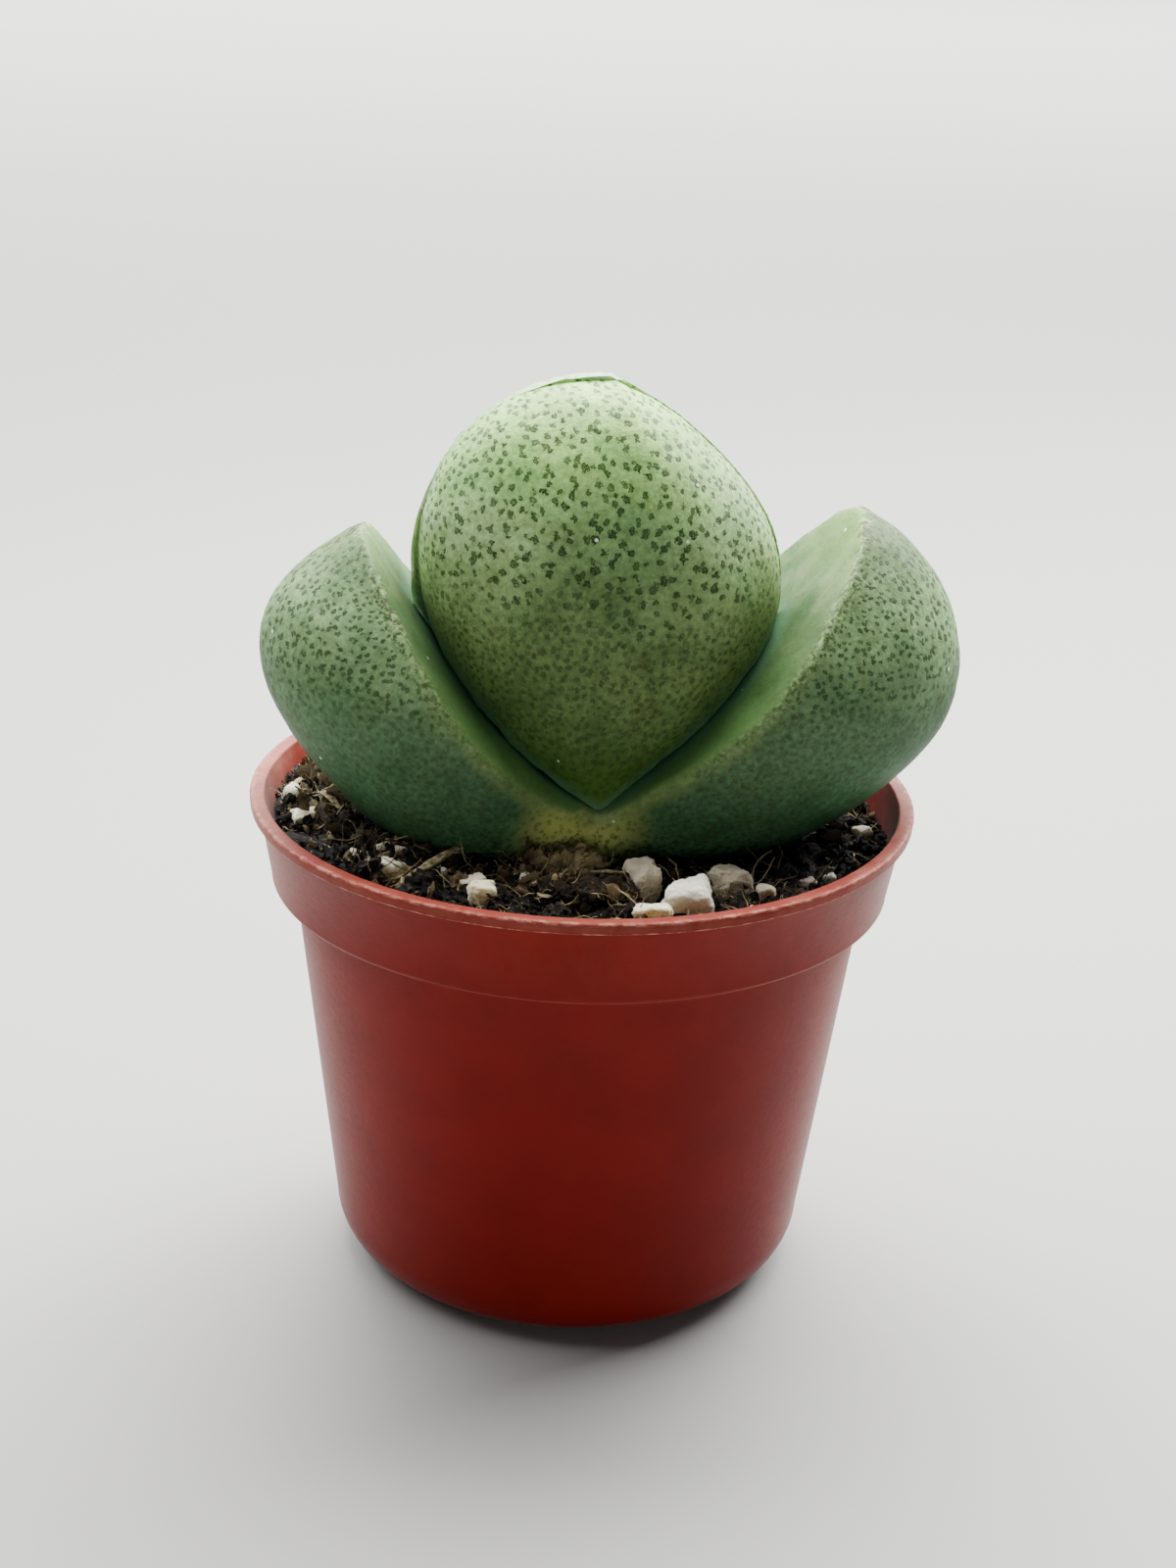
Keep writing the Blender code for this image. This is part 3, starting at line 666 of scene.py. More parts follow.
def make_pot():
    """The moulded pot with its rounded lip, collar, step, foot and drain holes."""
    mouth = (LIP_INNER_RADIUS + LIP_MOUTH_ROUND, POT_HEIGHT - LIP_MOUTH_ROUND)
    profile = [
        (0.0, FLOOR),
        *reversed(inner_wall()),
        (LIP_INNER_RADIUS - 0.00004, POT_HEIGHT - 0.00060),
        *arc(mouth, LIP_MOUTH_ROUND, 180, 90, 4),
        *outer_wall(),
        *base_underside(),
    ]
    pot = spin_profile("moulded_pot", profile, POT_SIDES)
    ring = (CHANNEL_OUTER_RADIUS + CHANNEL_INNER_RADIUS) / 2
    for number in range(DRAIN_HOLES):
        turn = math.tau * (number + 0.5) / DRAIN_HOLES
        place = (ring * math.cos(turn), ring * math.sin(turn), 0.0)
        bpy.ops.mesh.primitive_cylinder_add(
            vertices=32, radius=DRAIN_HOLE_RADIUS, depth=4 * FLOOR, location=place,
        )
        pin = bpy.context.object
        cut = pot.modifiers.new("drain_hole", "BOOLEAN")
        cut.operation = "DIFFERENCE"
        cut.object = pin
        finish_modifiers(pot)
        bpy.data.objects.remove(pin, do_unlink=True)
    weigh(pot, "lip", [ramp(vertex.co.z, *LIP_WORN) for vertex in pot.data.vertices])
    raise_relief(pot, "worn_lip", 0.0008, 0.00005, group="lip")
    finish_modifiers(pot)
    pot.vertex_groups.clear()
    bpy.ops.object.shade_smooth_by_angle(angle=math.radians(40))
    return pot


def polypropylene():
    """Moulded terracotta polypropylene: deep red-brown, waxy sheen, fine scuffs, and a dusty, worn lip."""
    material, tree, surface, place = new_material(
        "moulded_polypropylene", IOR=1.49, Specular_IOR_Level=0.11, Sheen_Weight=0.10, Sheen_Roughness=0.30,
    )
    height = add(tree, "SeparateXYZ", [place]).outputs["Z"]
    mottle = patches(tree, place, 7.0, 5.0, 0.35, 0.65)
    plastic = add(tree, "Mix", {0: mottle, 6: colour("660802"), 7: colour("6e0a03")}, data_type="RGBA")

    # Pale soft patches: a breath of dust on collar and body, more dust on the lip, on the left a patch that is
    # partly dust and partly a painted warm reflection, on the right one that is partly dust and partly a painted
    # grazing sheen, and small marks of soil on the lip and on the left
    dust_and_sheen_band = add(tree, "MapRange", [height, 30.0, 47.0, 0.0, 0.03])
    lip = add(tree, "MapRange", [height, 47.7, 48.3, 0.0, 0.13])
    dust_and_sheen_band = add(tree, "Math", [dust_and_sheen_band, lip], operation="ADD")
    left_dust_and_reflection = near(tree, place, (-32.0, -3.0, 48.0), 2.0, 19.0)
    right_dust_and_sheen = near(tree, place, (31.0, -6.0, 45.0), 2.0, 24.0)
    for mask, thickness in ((left_dust_and_reflection, 0.40), (right_dust_and_sheen, 0.16)):
        dust_and_sheen_band = add(tree, "Math", [mask, thickness, dust_and_sheen_band], operation="MULTIPLY_ADD")
    cloud = patches(tree, warp(tree, place, 4.0, 1.5), 3.0, 6.0, 0.30, 0.72, 0.2, roughness=0.7)
    dust_and_sheen = add(tree, "Math", [dust_and_sheen_band, cloud], operation="MULTIPLY", use_clamp=True)
    marks = spots(tree, warp(tree, place, 0.5, 0.2), 1.0, 0.14, 0.4)
    marked = add(tree, "Math", [lip, 1.6, left_dust_and_reflection], operation="MULTIPLY_ADD")
    marks = add(tree, "Math", [marks, marked], operation="MULTIPLY", use_clamp=True)
    for mask, code in ((dust_and_sheen, "c08a74"), (marks, "33231a")):
        plastic = add(tree, "Mix", {0: mask, 6: plastic, 7: colour(code)}, data_type="RGBA")

    # Worn edges of the lip: broken pale lines along its lower edge and its top
    streaks = add(tree, "VectorMath", [place, (1.0, 1.0, 4.0)], operation="MULTIPLY")
    broken = patches(tree, streaks, 1.1, 5.0, 0.46, 0.60, roughness=0.7)
    flat = add(tree, "VectorMath", [place, (1.0, 1.0, 0.0)], operation="MULTIPLY")
    radius = add(tree, "VectorMath", [flat], operation="LENGTH")
    outside = add(tree, "MapRange", [radius, 31.9, 32.2])
    for level, reach, strength in ((47.95, 0.16, 0.60), (48.92, 0.22, 0.35)):
        edge = add(tree, "Math", [height, level], operation="SUBTRACT")
        edge = add(tree, "Math", [edge], operation="ABSOLUTE")
        edge = add(tree, "MapRange", [edge, reach, 0.3 * reach, 0.0, strength])
        for part in (outside, broken):
            edge = add(tree, "Math", [edge, part], operation="MULTIPLY")
        plastic = add(tree, "Mix", {0: edge, 6: plastic, 7: colour("d39a84")}, data_type="RGBA")

    # Scuffs: short fine scratches round the pot, and a faint orange peel from the mould
    long_way = add(tree, "VectorMath", [place, (1.0, 1.0, 6.0)], operation="MULTIPLY")
    scratch = add(tree, "TexNoise", {
        "Vector": long_way, "Scale": 1 / 1.6, "Detail": 6.0, "Roughness": 0.75,
    })
    peel = add(tree, "TexNoise", {"Vector": place, "Scale": 1 / 0.7, "Detail": 2.0})
    both = add(tree, "Math", [scratch, peel], operation="ADD")
    rough = add(tree, "MapRange", [scratch, 0.3, 0.7, 0.40, 0.52])
    rough = add(tree, "Math", [dust_and_sheen, 0.5, rough], operation="MULTIPLY_ADD", use_clamp=True)
    finish_surface(tree, surface, plastic, relief=(both, 0.16, 0.00012), rough=rough)
    return material


# Soil

def bed_level(x, y):
    """Mean level of the soil at a place."""
    return POT_HEIGHT - BED_DROP - BED_SLOPE[0] * x - BED_SLOPE[1] * y


def on_bed(x, y, lift):
    """A point at a height above the mean level of the soil, all in millimetres."""
    return Vector((x * MM, y * MM, bed_level(x * MM, y * MM) + lift * MM))


def make_bed():
    """The peat that fills the pot, with a crumbly top."""
    wall = [(radius - BED_GAP, height + BED_FLOOR_GAP) for radius, height in inner_wall()]
    level = POT_HEIGHT - BED_DROP
    edge = wall[0][0] - BED_RIM_GAP
    top = [(edge * ring / BED_RINGS, level) for ring in range(BED_RINGS + 1)]
    bed = spin_profile("peat_bed", [*top, *wall[1:], (0.0, wall[-1][1])], BED_SIDES)
    upper = []
    for vertex in bed.data.vertices:
        if abs(vertex.co.z - level) < MERGE:
            vertex.co.z = bed_level(vertex.co.x, vertex.co.y)
            inwards = edge - math.hypot(vertex.co.x, vertex.co.y)
            upper.append(min(1.0, inwards / BED_FADE + BED_EDGE_SHARE))
        else:
            upper.append(0.0)
    weigh(bed, "top", upper)
    raise_relief(bed, "bed_heaps", 0.0060, 0.0026, group="top")
    raise_relief(bed, "bed_lumps", 0.0022, 0.0020, group="top")
    raise_relief(bed, "bed_crumbs", 0.0008, 0.0010, depth=3, group="top")
    finish_modifiers(bed)
    bed.vertex_groups.clear()
    bed.data.shade_smooth()
    return bed


def crumb_seeds(name, count, subdivisions, rough, flatness, first, torn):
    """Crumbs of unit radius, knocked out of round by seeds from the first up, and torn all over if asked."""
    crumbs = []
    for number in range(count):
        bpy.ops.mesh.primitive_ico_sphere_add(subdivisions=subdivisions, radius=1.0)
        crumb = just_made(f"{name}_seed_{number}")
        edit_all()
        bpy.ops.transform.vertex_random(offset=rough, uniform=0.4, normal=0.6, seed=first + number)
        bpy.ops.transform.resize(value=(1.0, 0.85, flatness), center_override=(0.0, 0.0, 0.0))
        bpy.ops.object.mode_set(mode="OBJECT")
        if torn:
            raise_relief(crumb, crumb.name, 0.45, 0.55, depth=3)
            finish_modifiers(crumb)
        crumbs.append(crumb)
    return crumbs


def drawn_strand(name, sides, points, radii, flatness=1.0):
    """One bent strand drawn through points, with its half width at each, and closed at both ends."""
    turn = (points[1] - points[0]).normalized().to_track_quat("Z", "Y").to_matrix().to_4x4()
    bpy.ops.mesh.primitive_circle_add(vertices=sides, radius=radii[0], fill_type="NGON")
    strand = just_made(name)
    strand.data.transform(Matrix.Translation(points[0]) @ turn @ Matrix.Diagonal((1.0, flatness, 1.0, 1.0)))
    edit_all()
    for number in range(1, len(points)):
        step = points[number] - points[number - 1]
        bpy.ops.mesh.extrude_region_move(TRANSFORM_OT_translate={"value": step})
        grow = radii[number] / radii[number - 1]
        bpy.ops.transform.resize(value=(grow, grow, grow), center_override=points[number])
    bpy.ops.mesh.select_all(action="SELECT")
    bpy.ops.mesh.normals_make_consistent(inside=False)
    bpy.ops.object.mode_set(mode="OBJECT")
    return strand


def fibre_seed(name, roll, length, radius, steps, curl):
    """One bent, tapered root fibre that starts at the origin and runs along +X."""
    heading = Vector((1.0, 0.0, 0.0))
    points = [Vector((0.0, 0.0, 0.0))]
    radii = [radius]
    for step in range(steps):
        heading += Vector((0.0, roll.uniform(-curl, curl), roll.uniform(-curl, curl)))
        heading.normalize()
        points.append(points[-1] + heading * length / steps)
        radii.append(radius * roll.uniform(0.8, 1.15) * (1.0 - 0.65 * (step / steps) ** 2))
    return drawn_strand(name, 4, points, radii)


def sow(name, seeds, placings, roll):
    """Copy the seed shapes to their placings, each with its own mesh, and join them into one piece."""
    copies = []
    for number, placing in enumerate(placings):
        mesh = roll.choice(seeds).data.copy()
        mesh.transform(placing)
        copies.append(link_new(f"{name}_{number}", mesh))
    piece = join_as(name, copies)
    for seed in seeds:
        bpy.data.objects.remove(seed, do_unlink=True)
    return piece


class Ground:
    """The surfaces that scattered things lie on or keep clear of."""

    def __init__(self, bed, leaves):
        self.bed = self.surface(bed)
        self.leaves = [self.surface(leaf) for leaf in leaves]

    @staticmethod
    def surface(item):
        """A mesh that rays and near points can be found on."""
        spots = [vertex.co.copy() for vertex in item.data.vertices]
        return BVHTree.FromPolygons(spots, [tuple(face.vertices) for face in item.data.polygons])

    def level(self, x, y):
        """Height of the bed at a place, or its mean level off the bed."""
        spot = self.bed.ray_cast(Vector((x, y, POT_HEIGHT + 0.01)), Vector((0.0, 0.0, -1.0)))[0]
        return spot.z if spot else bed_level(x, y)

    def inside_leaf(self, point, margin):
        """Whether a point lies in a leaf or nearer to one than a margin."""
        for leaf in self.leaves:
            spot, normal, _, away = leaf.find_nearest(point)
            if away < margin or (point - spot).dot(normal) < 0.0:
                return True
        return False


def lie_crumbs(ground, roll, count, sizes, spread, sink):
    """Placings of crumbs over the bed: spread draws a place, and sink is how far up each lies."""
    placings = []
    while len(placings) < count:
        x, y = spread(roll)
        radius = sizes[0] + (sizes[1] - sizes[0]) * roll.random() ** CRUMB_SKEW
        if math.hypot(x, y) > BED_EDGE - CRUMB_WALL_SHARE * radius:
            continue
        point = Vector((x, y, ground.level(x, y) + radius * sink))
        if ground.inside_leaf(point, CRUMB_LEAF_SHARE * radius):
            continue
        turn = Euler([roll.uniform(0.0, math.tau) for axis in range(3)]).to_matrix().to_4x4()
        stretch = Matrix.Diagonal([radius * roll.uniform(0.75, 1.3) for axis in range(3)]).to_4x4()
        placings.append(Matrix.Translation(point) @ turn @ stretch)
    return placings


def lie_fibres(ground, roll, count, scales, spread, lift):
    """Placings of fibres over the bed, most of them flat and some with an end in the air."""
    placings = []
    while len(placings) < count:
        x, y = spread(roll)
        if math.hypot(x, y) > BED_EDGE - FIBRE_WALL_GAP:
            continue
        point = Vector((x, y, ground.level(x, y) + roll.uniform(0.0, FIBRE_LIFT)))
        turns = (roll.uniform(0.0, math.tau), roll.uniform(-lift, FIBRE_DIP), roll.uniform(0.0, math.tau))
        turn = Euler(turns, "XYZ").to_matrix().to_4x4()
        placing = Matrix.Translation(point) @ turn @ Matrix.Scale(roll.uniform(*scales), 4)
        tip = placing @ Vector((FIBRE_REACH, 0.0, 0.0))
        outside = math.hypot(tip.x, tip.y) > BED_EDGE - FIBRE_TIP_GAP or tip.z > POT_HEIGHT + FIBRE_HEADROOM
        if not outside and not any(ground.inside_leaf(end, FIBRE_LEAF_GAP) for end in (point, tip)):
            placings.append(placing)
    return placings


def turned_out(roll, reach):
    """A place at a distance from the axis, in a drawn direction."""
    turn = roll.uniform(0.0, math.tau)
    return reach * math.cos(turn), reach * math.sin(turn)


def over_bed(roll):
    """A place anywhere on the bed."""
    return turned_out(roll, BED_EDGE * math.sqrt(roll.random()))


def round_edge(roll):
    """A place on the outer ring of the bed, along the pot's wall."""
    return turned_out(roll, roll.uniform(*EDGE_RING) * BED_EDGE)


def about(x, y, spread_x, spread_y):
    """A rule that draws places round a point."""
    return lambda roll: (x + roll.gauss(0.0, spread_x), y + roll.gauss(0.0, spread_y))


def leaf_shadow_share(tree, place):
    """Painted shadow on the soil: 0 all over, and more in the shade of the right leaf."""
    leaf_shadow = near(tree, place, (22.0, -9.0, 47.0), 3.0, 13.0)
    return add(tree, "Math", [leaf_shadow, 0.72], operation="MULTIPLY")


def peat(name, dark, middle, light, dry_share):
    """Damp sphagnum peat with painted shade: near-black where it lies low, brown on top, with paler, drier crumbs
    and chaff, and no shine.
    """
    material, tree, surface, place = new_material(name, IOR=1.45, Roughness=0.95)
    own = add(tree, "NewGeometry", []).outputs["Random Per Island"]
    coat = add(tree, "TexNoise", {"Vector": place, "Scale": 1 / 0.9, "Detail": 6.0, "Roughness": 0.75})
    # Painted shade and light: the peat is darker the lower it lies, near-black in hollows and brown on top
    rise = add(tree, "VectorMath", [place, (*BED_SLOPE, 1.0)], operation="DOT_PRODUCT")
    level = (POT_HEIGHT - BED_DROP) / MM
    rise = add(tree, "MapRange", [rise, level - 1.5, level + 2.5, -0.16, 0.14])
    coat = add(tree, "Math", [coat, rise], operation="ADD")
    shade = add(tree, "MapRange", [coat, 0.44, 0.68])
    ground = add(tree, "Mix", {0: shade, 6: colour(dark), 7: colour(middle)}, data_type="RGBA")
    dry = add(tree, "MapRange", [own, 1.0 - dry_share, 1.0, 0.0, 0.9])
    chaff = patches(tree, warp(tree, place, 0.5, 0.3), 0.35, 3.0, 0.60, 0.70, high=0.75, roughness=0.6)

    # A dry tan tuft in front of the notch, and painted shadow: dark navy peat in the shade of the right leaf
    # The tuft's pale tan is partly dry peat and partly a painted highlight on a clump that lies in shade
    tuft_tone_and_light = near(tree, place, (-0.9, -16.9, 49.3), 1.2, 4.4)
    frayed = add(tree, "MapRange", [coat, 0.46, 0.60, 0.0, 0.8])
    tuft_tone_and_light = add(tree, "Math", [tuft_tone_and_light, frayed], operation="MULTIPLY")
    coats = ((dry, light), (chaff, "7d6845"), (tuft_tone_and_light, "b8a87a"), (leaf_shadow_share(tree, place), "15171f"))
    grit = add(tree, "TexNoise", {"Vector": place, "Scale": 1 / 0.30, "Detail": 6.0, "Roughness": 0.75})
    finish_surface(tree, surface, ground, coats, (grit, 1.0, 0.00035))
    return material


def fibre_stuff():
    """Dry root and moss fibre: tan to grey-brown, each of its own shade."""
    material, tree, surface, place = new_material("dry_moss_fibre", IOR=1.45, Roughness=0.8)
    own = add(tree, "NewGeometry", []).outputs["Random Per Island"]
    fibre = grade(tree, own, ((0.0, "453322"), (0.35, "7d6744"), (0.75, "b8a577"), (1.0, "e0d5b0")))
    worn = patches(tree, place, 0.5, 3.0, 0.45, 0.65, high=0.6)
    # Painted shadow: the fibres turn dark grey-brown in the shade of the right leaf
    finish_surface(tree, surface, fibre, ((worn, "5a482e"), (leaf_shadow_share(tree, place), "33302a")))
    return material


def dry_bark():
    """Weathered bark and stem: grey-tan with dark grooves along it."""
    material, tree, surface, place = new_material("weathered_bark", IOR=1.45, Roughness=0.85)
    grain = add(tree, "VectorMath", [place, (0.35, 0.35, 1.0)], operation="MULTIPLY")
    grain = add(tree, "TexNoise", {"Vector": grain, "Scale": 1 / 0.22, "Detail": 5.0, "Roughness": 0.65})
    wood = grade(tree, grain, ((0.36, "3a2e1c"), (0.50, "8d7f5c"), (0.64, "c4b68f")))
    finish_surface(tree, surface, wood, relief=(grain, 0.9, 0.00020))
    return material


def perlite():
    """Expanded perlite: chalky white glass foam with pits, some grains grey or cream with peat dust."""
    material, tree, surface, place = new_material(
        "expanded_perlite", IOR=1.5, Roughness=0.85, Subsurface_Weight=0.40, Subsurface_Scale=0.0010,
    )
    surface.inputs["Subsurface Radius"].default_value = (1.0, 0.95, 0.80)
    own = add(tree, "Attribute", [], attribute_name="tint").outputs["Fac"]
    tints = ((0.0, "fffae6"), (0.18, "f6eec8"), (0.4, "e4dabd"), (0.7, "c6bca6"), (1.0, "9d9282"))
    stain = add(tree, "TexNoise", {"Vector": place, "Scale": 1 / 1.2, "Detail": 5.0, "Roughness": 0.65})
    dirt = add(tree, "Math", [own, 0.10, stain], operation="MULTIPLY_ADD")
    dirt = add(tree, "MapRange", [dirt, 0.56, 0.80, 0.0, 0.35])
    pits = spots(tree, warp(tree, place, 0.4, 0.1), 0.50, 0.11, 0.4)
    shade = add(tree, "Math", [pits, 0.30], operation="MULTIPLY")
    foam = add(tree, "TexNoise", {"Vector": place, "Scale": 1 / 0.35, "Detail": 4.0})
    foam = add(tree, "Math", [pits, -0.8, foam], operation="MULTIPLY_ADD")
    coats = ((dirt, "8f8058"), (shade, "75674f"))
    finish_surface(tree, surface, grade(tree, own, tints), coats, (foam, 0.6, 0.00018))
    return material


def set_down(item, place, turn, sizes):
    """Give an object of unit size its half sizes in millimetres, turn it in degrees and put it in its place."""
    placing = Matrix.Translation(place) @ Matrix.Rotation(math.radians(turn), 4, "Z")
    item.data.transform(placing @ Matrix.Diagonal([size * MM for size in sizes]).to_4x4())


# Perlite grains that show: x, y, three half sizes in millimetres, turn in degrees, and tint from white to dirty
GRAINS = (
    (9.9, -21.9, 2.25, 1.95, 2.0, 12, 0.00),
    (6.6, -25.3, 1.7, 1.1, 1.35, -8, 0.18),
    (5.8, -18.0, 1.8, 1.5, 2.1, 20, 0.70),
    (14.2, -16.7, 2.2, 1.9, 1.6, 35, 0.62),
    (9.7, -17.4, 0.9, 0.8, 0.7, 0, 0.80),
    (17.1, -18.9, 1.0, 0.9, 0.9, 10, 0.85),
    (16.4, -21.5, 0.8, 0.6, 0.5, 0, 0.35),
    (19.3, -18.8, 1.3, 0.9, 0.6, 30, 1.00),
    (23.5, -13.1, 0.9, 0.8, 0.7, 15, 0.70),
    (26.1, -5.6, 0.7, 0.7, 0.8, 0, 0.90),
    (27.6, -0.8, 0.9, 0.8, 0.9, 40, 0.80),
    (-17.2, -19.1, 1.5, 1.3, 1.4, -20, 0.10),
    (-9.8, -21.7, 1.4, 1.1, 1.0, 25, 0.60),
    (-8.8, -23.6, 1.6, 1.0, 1.1, 5, 0.20),
    (-28.0, -2.9, 1.0, 0.9, 1.0, 0, 0.05),
    (-26.2, -6.3, 1.6, 0.9, 0.8, 30, 0.30),
    (-27.9, 3.4, 1.2, 0.8, 0.6, 60, 0.40),
    (-27.2, 9.6, 0.9, 0.7, 0.7, 0, 0.35),
    (-25.6, 0.8, 0.8, 0.6, 0.5, 20, 0.30),
    (-26.8, 6.6, 0.8, 0.7, 0.7, 70, 0.25),
    (-16.6, -14.6, 0.7, 0.6, 0.6, 0, 0.75),
    (-18.5, -13.9, 0.7, 0.5, 0.4, 45, 0.20),
    (-20.6, -15.9, 1.1, 0.6, 0.7, -35, 0.35),
    (-4.9, -19.2, 0.5, 0.5, 0.5, 0, 0.00),
    (-7.1, -14.0, 0.5, 0.4, 0.4, 0, 0.30),
    (-12.4, -17.4, 0.4, 0.4, 0.4, 0, 0.10),
    (21.3, -14.9, 1.1, 0.8, 0.6, 20, 0.95),
    (11.9, -25.3, 0.7, 0.5, 0.4, 0, 0.55),
    (12.5, 22.0, 1.6, 1.3, 1.1, 0, 0.05),
    (-6.0, 25.0, 1.2, 1.1, 0.9, 50, 0.30),
    (-15.5, 20.5, 1.9, 1.4, 1.3, 15, 0.15),
    (3.2, 19.8, 0.9, 0.8, 0.8, 0, 0.60),
    (20.6, 18.4, 0.8, 0.7, 0.7, 0, 0.25),
    (24.4, 9.8, 1.1, 0.9, 0.8, 0, 0.50),
    (-22.9, 15.8, 0.9, 0.9, 0.7, 0, 0.40),
)


def make_grain(number, ground, x, y, width, depth, height, turn, tint):
    """One perlite grain: a broken block with flat sides, blunt corners and pits, set into the peat."""
    large = max(width, depth, height) > GRAIN_LARGE
    bpy.ops.mesh.primitive_cube_add(size=2.0)
    grain = just_made(f"perlite_{number}")
    edit_all()
    bpy.ops.transform.vertex_random(offset=0.42, uniform=1.0, normal=0.0, seed=number + 3)
    bpy.ops.mesh.subdivide(number_cuts=2 if large else 1, smoothness=0.0)
    bpy.ops.transform.vertex_random(offset=0.14 if large else 0.25, uniform=1.0, normal=0.0, seed=number + 40)
    bpy.ops.object.mode_set(mode="OBJECT")
    round_off(grain, 3 if large else 2)
    raise_relief(grain, f"grain_lumps_{number}", 0.6, 0.32)
    raise_relief(grain, f"grain_pits_{number}", 0.20, 0.18 if large else 0.12, depth=4)
    finish_modifiers(grain)
    level = min(ground.level(x * MM, y * MM), bed_level(x * MM, y * MM) + GRAIN_STEP)
    place = Vector((x * MM, y * MM, level + GRAIN_RISE * height * MM))
    set_down(grain, place, turn, [GRAIN_SHARE * size for size in (width, depth, height)])
    write_values(grain, "tint", [tint] * len(grain.data.vertices))
    grain.data.shade_smooth()
    return grain


# Clumps of matted peat: x, y, height above the bed, three half sizes in millimetres, and turn in degrees
CLUMPS = (
    (-0.9, -16.6, 1.0, 3.3, 1.9, 1.7, -10),
    (0.8, -20.3, 0.3, 4.6, 2.3, 1.5, 5),
    (14.6, -20.8, 0.1, 2.3, 1.5, 1.1, 30),
    (-14.2, -13.6, 0.4, 1.7, 1.3, 1.1, 20),
    (-19.6, -12.4, 0.2, 2.2, 1.4, 1.0, -35),
    (-22.6, -8.0, 0.3, 1.7, 1.4, 1.0, 10),
    (22.0, -14.5, 0.0, 1.9, 1.5, 0.9, 40),
    (-25.5, 4.0, 0.3, 2.2, 3.0, 1.0, 0),
    (5.0, 23.0, 0.2, 3.0, 2.0, 1.3, 15),
    (-11.0, 21.5, 0.2, 2.4, 2.0, 1.2, 50),
)


def make_clump(number, x, y, lift, width, depth, height, turn):
    """One clump of matted peat, torn and ridged all over."""
    bpy.ops.mesh.primitive_ico_sphere_add(subdivisions=5, radius=1.0)
    clump = just_made(f"clump_{number}")
    set_down(clump, on_bed(x, y, lift), turn, (width, depth, height))
    raise_relief(clump, f"clump_lobes_{number}", 0.0020, 0.0022)
    raise_relief(clump, f"clump_tufts_{number}", 0.0008, 0.0018, depth=3)
    raise_relief(clump, f"clump_fuzz_{number}", 0.00030, 0.0006)
    finish_modifiers(clump)
    clump.data.shade_smooth()
    return clump


# Bark on the peat: name, sides, flatness, and points of x, y, height above the bed and half width in millimetres.
# The long strip and its fork lie in front on the left, the chip at the left and the twig in the middle
BARK = (
    ("strip", 8, 0.45, (
        (-16.6, -22.3, 0.2, 0.45), (-15.4, -21.0, 0.8, 0.60), (-14.1, -19.3, 1.3, 0.58),
        (-12.7, -17.3, 1.7, 0.55), (-11.3, -15.4, 1.9, 0.48), (-10.2, -14.0, 1.8, 0.40), (-9.3, -12.9, 1.4, 0.20),
    )),
    ("fork", 6, 0.7, ((-10.6, -14.5, 1.8, 0.28), (-10.3, -13.4, 2.2, 0.20), (-10.5, -12.5, 2.6, 0.10))),
    ("chip", 6, 0.30, (
        (-25.9, -1.6, 0.9, 0.20), (-25.1, -2.4, 1.6, 0.75), (-24.0, -3.8, 1.0, 0.50), (-23.2, -4.9, 0.5, 0.20),
    )),
    ("twig", 6, 1.0, (
        (7.8, -16.6, 0.6, 0.12), (4.6, -18.3, 1.9, 0.22), (1.7, -19.0, 2.1, 0.20), (-0.4, -18.8, 1.6, 0.10),
    )),
)


def make_bark():
    """The bark strip, its fork, the torn chip and the twig, joined into one piece."""
    pieces = []
    for name, sides, flatness, points in BARK:
        places = [on_bed(*point[:3]) for point in points]
        piece = drawn_strand(name, sides, places, [point[3] * MM for point in points], flatness)
        round_off(piece, 2)
        raise_relief(piece, name + "_torn", 0.0005, 0.00018)
        finish_modifiers(piece)
        piece.data.shade_smooth()
        pieces.append(piece)
    return join_as("bark_strips", pieces)


# Where loose stuff lies thicker: on the dry tuft, on the dark clump in front of it, and on the heap at the left
ON_TUFT = about(-0.0009, -0.0166, 0.0022, 0.0012)
ON_CLUMP = about(0.0008, -0.0203, 0.0030, 0.0014)
ON_HEAP = about(-0.0262, 0.0012, 0.0016, 0.0050)

# Strewn crumbs and chips: name; seeds as count, subdivisions, roughness, flatness, first seed and whether torn;
# dark, middle and light peat and its dry share; and layers of count, half sizes, where, and how far up they lie
CRUMBS = (
    ("torn_peat", (4, 3, 0.25, 0.8, 0, True), ("060403", "1f1710", "6b573c", 0.15), (
        (90, (0.0006, 0.0014), over_bed, 0.25),
        (70, (0.0006, 0.0013), round_edge, 0.3),
    )),
    ("peat_lumps", (4, 2, 0.32, 0.75, 0, False), ("070504", "1c140e", "6a563b", 0.15), (
        (200, (0.0004, 0.0010), over_bed, 0.3),
        (16, (0.0004, 0.0009), ON_HEAP, 0.9),
    )),
    ("peat_crumbs", (4, 1, 0.38, 0.7, 9, False), ("080604", "241a12", "bfaa78", 0.34), (
        (3200, (0.00008, 0.0005), over_bed, 0.6),
        (1000, (0.00008, 0.0005), round_edge, 0.7),
        (300, (0.00008, 0.0004), ON_TUFT, 5.0),
        (200, (0.00008, 0.0004), ON_CLUMP, 4.0),
        (260, (0.00008, 0.0004), ON_HEAP, 1.6),
    )),
    ("bark_chips", (5, 2, 0.45, 0.14, 30, False), ("1f170e", "6b5838", "d6c99e", 0.35), (
        (300, (0.0003, 0.0010), over_bed, 0.9),
        (70, (0.0003, 0.0009), ON_HEAP, 1.5),
        (90, (0.0003, 0.0008), ON_TUFT, 2.6),
        (30, (0.0003, 0.0008), ON_CLUMP, 2.2),
    )),
)

